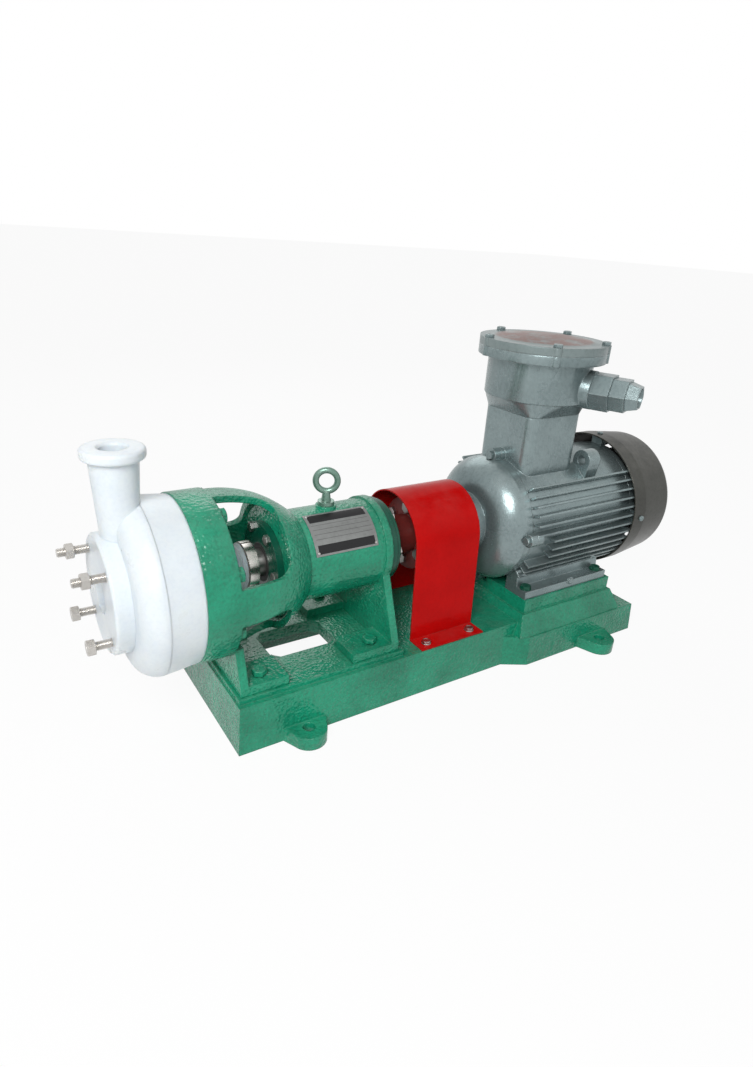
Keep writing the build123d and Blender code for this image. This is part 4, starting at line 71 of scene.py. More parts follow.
class Graph:
    """Short calls for making and joining the nodes of one tree."""

    def __init__(self, tree: bpy.types.NodeTree) -> None:
        """Keep the tree that the nodes go into.

        Args:
            tree: The node tree of a material or of a node group.
        """
        self.tree = tree

    def add(
        self, kind: str, settings: dict[str, object] | None = None, **sockets: object
    ) -> bpy.types.Node:
        """Make a node, set its properties and fill or join its inputs.

        Args:
            kind: The node's type without its leading "ShaderNode".
            settings: Properties of the node itself.
            **sockets: Input values or sockets to join, with spaces in names written as underscores
                and numbered inputs written as i0, i1 and so on.

        Returns:
            The new node.
        """
        node = self.tree.nodes.new("ShaderNode" + kind)
        for name, value in (settings or {}).items():
            setattr(node, name, value)
        for name, value in sockets.items():
            numbered = name[0] == "i" and name[1:].isdigit()
            key: int | str = int(name[1:]) if numbered else name.replace("_", " ")
            socket = node.inputs[key]
            if isinstance(value, bpy.types.NodeSocket):
                self.tree.links.new(value, socket)
            else:
                socket.default_value = value
        return node

    def maths(
        self, operation: str, first: object, second: object = 0.0, clamp: bool = False
    ) -> bpy.types.NodeSocket:
        """Work out one number from two.

        Args:
            operation: Name of the Math node's operation.
            first: Number or socket.
            second: Number or socket.
            clamp: Whether the result is held between 0 and 1.

        Returns:
            The socket with the result.
        """
        settings = {"operation": operation, "use_clamp": clamp}
        return self.add("Math", settings, i0=first, i1=second).outputs[0]

    def times(self, first: object, second: object) -> bpy.types.NodeSocket:
        """Multiply two numbers or sockets."""
        return self.maths("MULTIPLY", first, second)

    def reach(self, first: object, second: object) -> bpy.types.NodeSocket:
        """Give the distance whose two legs are given."""
        square = self.maths("ADD", self.times(first, first), self.times(second, second))
        return self.maths("SQRT", square)

    def blend(self, factor: object, first: object, second: object) -> bpy.types.NodeSocket:
        """Mix two colours by a factor and give the mixed colour.

        Args:
            factor: Number or socket from 0 to 1.
            first: Colour or socket at factor 0.
            second: Colour or socket at factor 1.

        Returns:
            The socket with the mixed colour.
        """
        return self.add("Mix", {"data_type": "RGBA"}, i0=factor, i6=first, i7=second).outputs[2]

    def ramp(
        self, value: object, low: float, high: float, to_low: float = 0.0, to_high: float = 1.0
    ) -> bpy.types.NodeSocket:
        """Stretch a value from one range to another, held within the new range.

        Args:
            value: Number or socket.
            low: Value that becomes to_low.
            high: Value that becomes to_high.
            to_low: First end of the new range.
            to_high: Second end of the new range.

        Returns:
            The socket with the stretched value.
        """
        ends = {"i1": low, "i2": high, "i3": to_low, "i4": to_high}
        return self.add("MapRange", {"clamp": True}, i0=value, **ends).outputs[0]

    def place(self) -> bpy.types.NodeSocket:
        """Give the place on the object in its own frame, in metres."""
        return self.add("TexCoord").outputs["Object"]

    def speckle(
        self, scale: object, detail: float = 3.0, roughness: float = 0.55
    ) -> bpy.types.NodeSocket:
        """Give soft noise over the object.

        Args:
            scale: Spots per metre, as a number or socket.
            detail: Number of finer layers.
            roughness: Strength of the finer layers.

        Returns:
            The socket with the noise, around one half.
        """
        noise = self.add(
            "TexNoise", Vector=self.place(), Scale=scale, Detail=detail, Roughness=roughness
        )
        return noise.outputs[0]

    def seen(self) -> bpy.types.NodeSocket:
        """Tell direct rays from lighting rays.

        Returns:
            The socket with 1 on rays from the camera, a mirror or through glass, and 0 on the rest.
        """
        path = self.add("LightPath").outputs
        direct = self.maths("MAXIMUM", path["Is Camera Ray"], path["Is Glossy Ray"])
        return self.maths("MAXIMUM", direct, path["Is Transmission Ray"])


@dataclass
class SharedEffects:
    """Node groups that more than one finish uses, each built once.

    Attributes:
        made: The groups built so far, by name.
        cloud_span: Noise between which broad clouds fade in.
        cloud_share: How far the clouds take the colour to its shade.
        fleck_span: Noise between which fine flecks fade in.
        fleck_share: How far the flecks take the colour to its shade.
        edge_span: Agreement of the two normals at which wear starts and is full.
        break_span: Noise between which wear is broken up.
        lying_span: Upward part of the normal between which dust settles.
        patch_span: Noise between which dust gathers.
        bevel_samples: Rays that round a normal.
    """

    made: dict[str, bpy.types.NodeTree] = field(default_factory=dict)
    cloud_span: tuple[float, float] = (0.35, 0.7)
    cloud_share: float = 0.7
    fleck_span: tuple[float, float] = (0.45, 0.7)
    fleck_share: float = 0.3
    edge_span: tuple[float, float] = (0.99, 0.86)
    break_span: tuple[float, float] = (0.42, 0.62)
    lying_span: tuple[float, float] = (0.35, 0.95)
    patch_span: tuple[float, float] = (0.38, 0.68)
    bevel_samples: int = 4

    def group(self, name: str) -> bpy.types.NodeTree:
        """Give a group by its name, building it on first use.

        Args:
            name: One of the names of this class's build methods, without the leading "_build_".

        Returns:
            The group's node tree.
        """
        if name not in self.made:
            self.made[name] = getattr(self, "_build_" + name)()
        return self.made[name]

    def _start(
        self, name: str, inputs: dict[str, float | Colour], outputs: dict[str, str]
    ) -> tuple[Graph, bpy.types.Node, bpy.types.Node]:
        """Make an empty group with its sockets.

        Args:
            name: Name of the group.
            inputs: Input names with their default values; a colour's default has three parts.
            outputs: Output names with their socket types.

        Returns:
            The graph, the group's input node and the group's output node.
        """
        tree = bpy.data.node_groups.new(name, "ShaderNodeTree")
        for label, default in inputs.items():
            kind = "NodeSocketColor" if isinstance(default, tuple) else "NodeSocketFloat"
            socket = tree.interface.new_socket(label, in_out="INPUT", socket_type=kind)
            socket.default_value = (*default, 1.0) if isinstance(default, tuple) else default
        for label, kind in outputs.items():
            tree.interface.new_socket(label, in_out="OUTPUT", socket_type=kind)
        entry = tree.nodes.new("NodeGroupInput")
        leave = tree.nodes.new("NodeGroupOutput")
        return Graph(tree), entry, leave

    def _start_relief(
        self, name: str, scale: float
    ) -> tuple[Graph, bpy.types.NodeSocket, bpy.types.Node]:
        """Make an empty group that turns a scale into a height.

        Args:
            name: Name of the group.
            scale: Default of its Scale input.

        Returns:
            The graph, the scale's socket and the group's output node.
        """
        graph, entry, leave = self._start(name, {"Scale": scale}, {"Height": "NodeSocketFloat"})
        return graph, entry.outputs["Scale"], leave

    def _build_tone(self) -> bpy.types.NodeTree:
        """Uneven colour: broad clouds and fine flecks between a base and a shade.

        Returns:
            The group's node tree.
        """
        graph, entry, leave = self._start(
            "uneven_tone",
            {"Base": (0.5, 0.5, 0.5), "Shade": (0.4, 0.4, 0.4), "Cloud": 14.0, "Fleck": 220.0},
            {"Color": "NodeSocketColor", "Spread": "NodeSocketFloat"},
        )
        cloud = graph.speckle(entry.outputs["Cloud"], 4.0)
        fleck = graph.speckle(entry.outputs["Fleck"], 2.0)
        clouded = graph.ramp(cloud, *self.cloud_span, to_high=self.cloud_share)
        flecked = graph.ramp(fleck, *self.fleck_span, to_high=self.fleck_share)
        spread = graph.maths("ADD", clouded, flecked)
        colour = graph.blend(spread, entry.outputs["Base"], entry.outputs["Shade"])
        graph.tree.links.new(colour, leave.inputs["Color"])
        graph.tree.links.new(spread, leave.inputs["Spread"])
        return graph.tree

    def _build_edge_wear(self) -> bpy.types.NodeTree:
        """Rubbed edges: where the rounded normal leaves the flat one, broken up by noise.

        Returns:
            The group's node tree.
        """
        graph, entry, leave = self._start(
            "edge_wear",
            {"Width": 0.0015, "Breakup": 90.0, "Amount": 1.0},
            {"Mask": "NodeSocketFloat"},
        )
        rays = {"samples": self.bevel_samples}
        rounded = graph.add("Bevel", rays, Radius=entry.outputs["Width"]).outputs[0]
        flat = graph.add("NewGeometry").outputs["Normal"]
        dot = graph.add("VectorMath", {"operation": "DOT_PRODUCT"}, i0=rounded, i1=flat)
        edge = graph.ramp(dot.outputs["Value"], *self.edge_span)
        breakup = graph.speckle(entry.outputs["Breakup"], 4.0, 0.7)
        broken = graph.ramp(breakup, *self.break_span)
        amount = entry.outputs["Amount"]
        mask = graph.maths("MULTIPLY", graph.times(edge, broken), amount, True)
        graph.tree.links.new(mask, leave.inputs["Mask"])
        return graph.tree

    def _build_dust(self) -> bpy.types.NodeTree:
        """Dust settled on faces that look up, thicker in patches.

        Returns:
            The group's node tree.
        """
        graph, entry, leave = self._start(
            "settled_dust", {"Amount": 0.3}, {"Mask": "NodeSocketFloat"}
        )
        normal = graph.add("NewGeometry").outputs["Normal"]
        upward = graph.add("SeparateXYZ", Vector=normal).outputs["Z"]
        lying = graph.ramp(upward, *self.lying_span)
        patch = graph.ramp(graph.speckle(26.0, 5.0, 0.65), *self.patch_span)
        amount = entry.outputs["Amount"]
        mask = graph.maths("MULTIPLY", graph.times(lying, patch), amount, True)
        graph.tree.links.new(mask, leave.inputs["Mask"])
        return graph.tree

    def _build_hammered(self) -> bpy.types.NodeTree:
        """Relief of thick enamel over a sand casting: soft dimples on slow swells.

        Returns:
            The group's node tree.
        """
        graph, scale, leave = self._start_relief("hammered_relief", 160.0)
        smooth = {"feature": "SMOOTH_F1"}
        cells = graph.add("TexVoronoi", smooth, Vector=graph.place(), Scale=scale, Smoothness=0.8)
        dimples = graph.times(cells.outputs["Distance"], 0.55)
        swell = graph.speckle(45.0, 3.0)
        height = graph.maths("ADD", dimples, graph.times(swell, 0.9))
        graph.tree.links.new(height, leave.inputs["Height"])
        return graph.tree

    def _build_cast(self) -> bpy.types.NodeTree:
        """Relief of a painted casting: fine sand grain on slow swells.

        Returns:
            The group's node tree.
        """
        graph, scale, leave = self._start_relief("cast_relief", 420.0)
        sand = graph.speckle(scale, 4.0, 0.7)
        swell = graph.speckle(38.0, 2.0)
        height = graph.maths("ADD", graph.times(sand, 0.5), graph.times(swell, 0.7))
        graph.tree.links.new(height, leave.inputs["Height"])
        return graph.tree

    def _build_turned(self) -> bpy.types.NodeTree:
        """Relief of lathe work about the shaft line: fine rings by reach and by place along it.

        Returns:
            The group's node tree.
        """
        graph, scale, leave = self._start_relief("turned_relief", 900.0)
        parts = graph.add("SeparateXYZ", Vector=graph.place())
        up = graph.maths("SUBTRACT", parts.outputs["Z"], SHAFT_Z)
        reach = graph.reach(up, parts.outputs["Y"])
        along = graph.add("CombineXYZ", X=parts.outputs["X"], Y=reach).outputs[0]
        rings = graph.add("TexNoise", Vector=along, Scale=scale, Detail=2.0, Roughness=0.5)
        graph.tree.links.new(rings.outputs[0], leave.inputs["Height"])
        return graph.tree

    def _build_moulded(self) -> bpy.types.NodeTree:
        """Relief of moulded plastic: an even skin with slow waves.

        Returns:
            The group's node tree.
        """
        graph, scale, leave = self._start_relief("moulded_relief", 260.0)
        skin = graph.speckle(scale, 2.0)
        wave = graph.speckle(24.0, 2.0)
        height = graph.maths("ADD", graph.times(skin, 0.25), wave)
        graph.tree.links.new(height, leave.inputs["Height"])
        return graph.tree

    def _build_rolled(self) -> bpy.types.NodeTree:
        """Relief of painted sheet: orange peel on faint dents.

        Returns:
            The group's node tree.
        """
        graph, scale, leave = self._start_relief("rolled_relief", 520.0)
        peel = graph.speckle(scale, 2.0)
        dent = graph.speckle(16.0, 2.0)
        height = graph.maths("ADD", graph.times(peel, 0.2), dent)
        graph.tree.links.new(height, leave.inputs["Height"])
        return graph.tree


EFFECTS = SharedEffects()
DUST: Colour = (0.62, 0.60, 0.55)
DUST_ROUGHNESS = 0.5


@dataclass(frozen=True)
class Finish:
    """One finish of the pump set, from which its material is made.

    Attributes:
        name: Name of the finish.
        base: Main colour.
        shade: Colour of its darker clouds and flecks.
        grain: Kind of fine relief.
        rough: Roughness on the main colour and on the shade.
        metallic: How much of a metal it is.
        coat: Weight of a clear coat.
        coat_rough: Roughness of the clear coat.
        grain_scale: Relief spots per metre.
        relief: Strength of the relief.
        relief_depth: Depth of the relief, in metres.
        corner: Radius to which corners look rounded, in metres.
        worn: Colour of rubbed edges.
        wear: How much edges are rubbed.
        wear_width: Width of the rubbed edges, in metres.
        dust: How much dust has settled.
        cloud: Broad clouds of colour per metre.
        translucent: How much light goes through the skin.
        glow_reach: How far red, green and blue light go through, in metres.
        gloss: Strength of the mirror highlight.
    """

    name: str
    base: Colour
    shade: Colour
    grain: Grain
    rough: tuple[float, float] = (0.35, 0.5)
    metallic: float = 0.0
    coat: float = 0.0
    coat_rough: float = 0.12
    grain_scale: float = 200.0
    relief: float = 0.15
    relief_depth: float = 0.0006
    corner: float = 0.0012
    worn: Colour = (0.3, 0.3, 0.3)
    wear: float = 0.0
    wear_width: float = 0.0012
    dust: float = 0.0
    cloud: float = 14.0
    translucent: float = 0.0
    glow_reach: Point = (0.012, 0.010, 0.008)
    gloss: float = 0.5

    def material(self) -> bpy.types.Material:
        """Build the material, or give the one already built.

        Returns:
            The finished material.
        """
        look = "look_" + self.name
        made = bpy.data.materials.get(look)
        if made is not None:
            return made
        made = bpy.data.materials.new(look)
        made.use_nodes = True
        made.node_tree.nodes.clear()
        graph = Graph(made.node_tree)
        base, shade = (*self.base, 1.0), (*self.shade, 1.0)
        tone = self.effect(graph, "tone", Base=base, Shade=shade, Cloud=self.cloud)
        colour = self.decorate(graph, tone.outputs["Color"])
        rough = graph.ramp(tone.outputs["Spread"], 0.0, 1.0, *self.rough)
        if self.wear:
            edges = self.effect(graph, "edge_wear", Width=self.wear_width, Amount=self.wear)
            colour = graph.blend(edges.outputs["Mask"], colour, (*self.worn, 1.0))
        if self.dust:
            dust = self.effect(graph, "dust", Amount=self.dust).outputs["Mask"]
            colour = graph.blend(dust, colour, (*DUST, 1.0))
            rough = graph.maths("ADD", rough, graph.times(dust, DUST_ROUGHNESS), True)
        shader = graph.add(
            "BsdfPrincipled",
            Base_Color=colour,
            Roughness=rough,
            Normal=self.normal(graph),
            Metallic=self.metallic,
            Specular_IOR_Level=self.gloss,
            Coat_Weight=self.coat,
            Coat_Roughness=self.coat_rough,
            Subsurface_Weight=self.translucent,
            Subsurface_Radius=self.glow_reach,
            Subsurface_Scale=1.0,
        )
        graph.add("OutputMaterial", Surface=shader.outputs[0])
        return made

    def effect(self, graph: Graph, name: str, **sockets: object) -> bpy.types.Node:
        """Place one of the shared effects, with its inputs filled or joined."""
        return graph.add("Group", {"node_tree": EFFECTS.group(name)}, **sockets)

    def normal(self, graph: Graph) -> bpy.types.NodeSocket:
        """Give the surface its rounded corners and its fine relief.

        Args:
            graph: The material's graph.

        Returns:
            The socket with the normal.
        """
        relief = self.effect(graph, self.grain.value, Scale=self.grain_scale)
        rounded = graph.add("Bevel", {"samples": EFFECTS.bevel_samples}, Radius=self.corner)
        bump = graph.add(
            "Bump",
            Height=relief.outputs["Height"],
            Normal=rounded.outputs[0],
            Strength=self.relief,
            Distance=self.relief_depth,
        )
        return bump.outputs[0]

    def decorate(self, graph: Graph, colour: bpy.types.NodeSocket) -> bpy.types.NodeSocket:
        """Give the colour unchanged; a finish with its own pattern adds it here."""
        return colour


@dataclass(frozen=True)
class BandedPlate(Finish):
    """Bare metal plate with black fields and ruled lines, laid out by angle round the shaft."""

    fields: tuple[tuple[float, float], ...] = ((22.5, 33.0), (62.0, 73.5))
    rules: tuple[tuple[float, float], ...] = (
        (39.6, 40.2),
        (45.6, 46.2),
        (51.6, 52.2),
        (57.6, 58.2),
    )
    rule_strength: float = 0.55
    ends: tuple[float, float] = (-195.5 * MM, -104.5 * MM)
    ink: Colour = (0.012, 0.012, 0.013)

    def decorate(self, graph: Graph, colour: bpy.types.NodeSocket) -> bpy.types.NodeSocket:
        """Paint the black fields and the ruled lines.

        Args:
            graph: The material's graph.
            colour: The plate's bare colour.

        Returns:
            The colour with its bands.
        """
        parts = graph.add("SeparateXYZ", Vector=graph.place())
        up = graph.maths("SUBTRACT", parts.outputs["Z"], SHAFT_Z)
        out = graph.times(parts.outputs["Y"], -1.0)
        angle = graph.times(graph.maths("ARCTAN2", up, out), 180.0 / math.pi)
        along = self.within(graph, parts.outputs["X"], *self.ends)
        for spans, strength in ((self.fields, 1.0), (self.rules, self.rule_strength)):
            for low, high in spans:
                inked = graph.times(self.within(graph, angle, low, high), along)
                colour = graph.blend(graph.times(inked, strength), colour, (*self.ink, 1.0))
        return colour

    def within(
        self, graph: Graph, value: bpy.types.NodeSocket, low: float, high: float
    ) -> bpy.types.NodeSocket:
        """Give 1 where a value lies between two ends and 0 elsewhere.

        Args:
            graph: The material's graph.
            value: The value to test.
            low: Lower end.
            high: Upper end.

        Returns:
            The socket with 0 or 1.
        """
        above = graph.maths("GREATER_THAN", value, low)
        return graph.times(above, graph.maths("LESS_THAN", value, high))


@dataclass(frozen=True)
class CrownedLid(Finish):
    """Grey enamel with the crown's red-brown primer showing through in patches."""

    crown_x: float = 235.5 * MM
    crown_reach: float = 80.0 * MM
    crown_height: float = 517.8 * MM
    fade: float = 6.0 * MM
    primer: Colour = (0.15, 0.065, 0.05)

    def decorate(self, graph: Graph, colour: bpy.types.NodeSocket) -> bpy.types.NodeSocket:
        """Rub the enamel off the crown.

        Args:
            graph: The material's graph.
            colour: The grey enamel's colour.

        Returns:
            The colour with bare primer on the crown.
        """
        parts = graph.add("SeparateXYZ", Vector=graph.place())
        off = graph.maths("SUBTRACT", parts.outputs["X"], self.crown_x)
        reach = graph.reach(off, parts.outputs["Y"])
        inner = graph.ramp(reach, self.crown_reach, self.crown_reach - self.fade)
        raised = graph.maths("GREATER_THAN", parts.outputs["Z"], self.crown_height)
        patch = graph.ramp(graph.speckle(34.0, 5.0, 0.7), 0.36, 0.52, 0.25, 1.0)
        bare = graph.times(graph.times(inner, raised), patch)
        return graph.blend(bare, colour, (*self.primer, 1.0))


FLUOROPLASTIC = Finish(
    "white_fluoroplastic", (0.76, 0.81, 0.83), (0.66, 0.72, 0.77), Grain.MOULDED,
    rough=(0.26, 0.40), relief=0.2, corner=0.0025, translucent=0.4, gloss=0.4,
    worn=(0.50, 0.51, 0.50), wear=0.2, dust=0.05,
)
STAINLESS = Finish(
    "stainless_steel", (0.62, 0.60, 0.57), (0.48, 0.46, 0.43), Grain.TURNED,
    rough=(0.22, 0.38), metallic=1.0, grain_scale=1400.0, relief=0.25, relief_depth=0.0001,
    corner=0.0006,
)
GREEN = Finish(
    "green_enamel", (0.010, 0.31, 0.175), (0.004, 0.15, 0.082), Grain.HAMMERED,
    rough=(0.16, 0.28), gloss=0.42, grain_scale=240.0, relief=0.85, relief_depth=0.0024,
    corner=0.0028, worn=(0.16, 0.30, 0.22), wear=0.5, dust=0.06,
)
DARK_GREEN = Finish(
    "dark_green_enamel", (0.004, 0.085, 0.050), (0.003, 0.055, 0.034), Grain.HAMMERED,
    rough=(0.2, 0.34), gloss=0.3, grain_scale=140.0, relief=0.3, relief_depth=0.0008,
    corner=0.0015, worn=(0.10, 0.12, 0.09), wear=0.5,
)
GREY = Finish(
    "silver_grey_enamel", (0.26, 0.325, 0.33), (0.13, 0.17, 0.175), Grain.CAST,
    rough=(0.22, 0.36), metallic=0.6, gloss=0.35, grain_scale=330.0, relief=0.38,
    relief_depth=0.0008, corner=0.0024, worn=(0.62, 0.64, 0.62), wear=0.5, dust=0.10, cloud=9.0,
)
COVER_GREY = Finish(
    "fan_cover_enamel", (0.062, 0.064, 0.056), (0.036, 0.036, 0.031), Grain.ROLLED,
    rough=(0.3, 0.46), metallic=0.35, gloss=0.35, relief=0.35, relief_depth=0.001, corner=0.0015,
    worn=(0.34, 0.31, 0.26), wear=0.5, dust=0.12, cloud=8.0,
)
LID_PAINT = CrownedLid(
    "lid_enamel", (0.23, 0.28, 0.28), (0.13, 0.17, 0.17), Grain.CAST,
    rough=(0.30, 0.44), metallic=0.45, gloss=0.35, grain_scale=330.0, relief=0.38,
    relief_depth=0.0008, corner=0.0024, worn=(0.62, 0.64, 0.62), wear=0.5, dust=0.05,
)
EYE_PAINT = Finish(
    "painted_forging", (0.20, 0.31, 0.26), (0.10, 0.19, 0.14), Grain.CAST,
    rough=(0.24, 0.4), metallic=0.6, gloss=0.4, relief=0.3, corner=0.001,
    worn=(0.5, 0.5, 0.47), wear=0.6,
)
RED = Finish(
    "red_enamel", (0.56, 0.004, 0.004), (0.44, 0.003, 0.003), Grain.ROLLED,
    rough=(0.14, 0.26), gloss=0.05, relief=0.3, relief_depth=0.0008, corner=0.0012,
    worn=(0.13, 0.05, 0.04), wear=0.9, wear_width=0.0022, dust=0.03,
)
COUPLING_RED = Finish(
    "coupling_primer", (0.16, 0.018, 0.014), (0.10, 0.012, 0.010), Grain.CAST,
    rough=(0.42, 0.6), relief=0.3, worn=(0.35, 0.33, 0.30), wear=0.7,
)
STEEL = Finish(
    "machined_steel", (0.50, 0.49, 0.475), (0.34, 0.33, 0.315), Grain.TURNED,
    rough=(0.26, 0.44), metallic=1.0, grain_scale=1200.0, relief=0.3, relief_depth=0.0001,
    corner=0.0006,
)
GROUND_STEEL = Finish(
    "ground_steel", (0.66, 0.66, 0.67), (0.55, 0.55, 0.56), Grain.TURNED,
    rough=(0.08, 0.18), metallic=1.0, grain_scale=2000.0, relief=0.1, relief_depth=0.0001,
    corner=0.0005,
)
RUBBER = Finish(
    "black_rubber", (0.02, 0.02, 0.02), (0.035, 0.034, 0.033), Grain.MOULDED,
    rough=(0.55, 0.75), relief=0.3, corner=0.0006,
)
CERAMIC = Finish(
    "white_ceramic", (0.82, 0.81, 0.77), (0.78, 0.76, 0.71), Grain.MOULDED,
    rough=(0.1, 0.2), coat=0.3, relief=0.05, corner=0.0004,
)
CORE_STEEL = Finish(
    "stacked_core_steel", (0.16, 0.16, 0.17), (0.10, 0.10, 0.11), Grain.TURNED,
    rough=(0.4, 0.6), metallic=0.8, relief=0.5, grain_scale=1600.0, corner=0.0004,
)
COPPER = Finish(
    "enamelled_copper", (0.55, 0.22, 0.09), (0.36, 0.13, 0.05), Grain.TURNED,
    rough=(0.25, 0.4), metallic=0.7, coat=0.3, relief=0.8, grain_scale=700.0, corner=0.0006,
)
PLATE = BandedPlate(
    "bare_plate_metal", (0.25, 0.26, 0.255), (0.17, 0.175, 0.17), Grain.ROLLED,
    rough=(0.3, 0.45), metallic=0.5, relief=0.15, corner=0.0004, worn=(0.3, 0.3, 0.3), wear=0.4,
)
BRASS = Finish(
    "turned_brass", (0.62, 0.44, 0.18), (0.48, 0.32, 0.12), Grain.MOULDED,
    rough=(0.2, 0.35), metallic=1.0, relief=0.15, corner=0.0004,
)
BOARD = Finish(
    "thermoset_board", (0.30, 0.11, 0.05), (0.24, 0.08, 0.035), Grain.MOULDED,
    rough=(0.35, 0.5), relief=0.2, corner=0.0005,
)
FAN_PLASTIC = Finish(
    "fan_plastic", (0.025, 0.025, 0.026), (0.04, 0.04, 0.04), Grain.MOULDED,
    rough=(0.4, 0.6), relief=0.2, corner=0.0005,
)


def dress(finish: Finish, *nodes: str) -> None:
    """Put a finish on CAD nodes.

    Args:
        finish: The finish to use.
        *nodes: Names of the nodes.
    """
    material = finish.material()
    for name in nodes:
        mesh_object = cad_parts[name]
        if not mesh_object.material_slots:
            mesh_object.data.materials.append(material)
        for slot in mesh_object.material_slots:
            slot.link = "OBJECT"
            slot.material = material
        LOG.info("dressed %s in %s", name, finish.name)


def soften(width: float, *nodes: str) -> None:
    """Round the sharp edges of CAD nodes, as casting and thick paint do.

    Args:
        width: Width of the rounding, in metres.
        *nodes: Names of the nodes.
    """
    for name in nodes:
        mesh_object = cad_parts[name]
        weld = mesh_object.modifiers.new("weld", "WELD")
        weld.merge_threshold = WELD_REACH
        flat = mesh_object.modifiers.new("flatten", "DECIMATE")
        flat.decimate_type = "DISSOLVE"
        flat.angle_limit = FLAT_ANGLE
        bevel = mesh_object.modifiers.new("rounding", "BEVEL")
        bevel.width = width
        bevel.segments = 3
        bevel.limit_method = "ANGLE"
        bevel.angle_limit = SHARP_ANGLE
        bevel.use_clamp_overlap = True
        bevel.harden_normals = True


def place_piece(
    name: str, shape: bmesh.types.BMesh, body: str, finish: Finish
) -> bpy.types.Object:
    """Turn a built shape into a piece that rides on a body.

    Args:
        name: Name of the piece.
        shape: The shape, in the common frame, freed here.
        body: Name of the body it rides on.
        finish: Its finish.

    Returns:
        The new piece.
    """
    mesh = bpy.data.meshes.new(name)
    bmesh.ops.recalc_face_normals(shape, faces=shape.faces[:])
    shape.to_mesh(mesh)
    shape.free()
    piece = bpy.data.objects.new(name, mesh)
    bpy.context.scene.collection.objects.link(piece)
    mesh.materials.append(finish.material())
    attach(piece, body)
    LOG.info("built %s on %s", name, body)
    return piece


def solids_of(node: str) -> list[tuple[Vector, Vector]]:
    """Find the separate solids of a CAD node.

    Args:
        node: Name of the node.

    Returns:
        The low and high corner of each solid, in order of their low corners.
    """
    shape = bmesh.new()
    shape.from_mesh(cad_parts[node].data)
    bmesh.ops.remove_doubles(shape, verts=shape.verts[:], dist=WELD_REACH)
    left = set(shape.verts)
    found = []
    while left:
        front = [left.pop()]
        places = []
        while front:
            vertex = front.pop()
            places.append(vertex.co.copy())
            for edge in vertex.link_edges:
                other = edge.other_vert(vertex)
                if other in left:
                    left.remove(other)
                    front.append(other)
        low = Vector(min(place[axis] for place in places) for axis in range(3))
        high = Vector(max(place[axis] for place in places) for axis in range(3))
        found.append((low, high))
    shape.free()
    return sorted(found, key=lambda corners: tuple(corners[0]))


def skin(shape: bmesh.types.BMesh, rings: list[list[bmesh.types.BMVert]], closed: bool) -> None:
    """Join rings of points into a skin.

    Args:
        shape: Where the skin goes.
        rings: Rings with equal numbers of points.
        closed: Whether the last ring joins the first, as in a nut, or both ends are capped.
    """
    pairs = list(zip(rings, rings[1:]))
    if closed:
        pairs.append((rings[-1], rings[0]))
    for near, far in pairs:
        for turn, corner in enumerate(near):
            after = (turn + 1) % len(near)
            shape.faces.new((corner, near[after], far[after], far[turn]))
    if not closed:
        shape.faces.new(rings[0])
        shape.faces.new(reversed(rings[-1]))


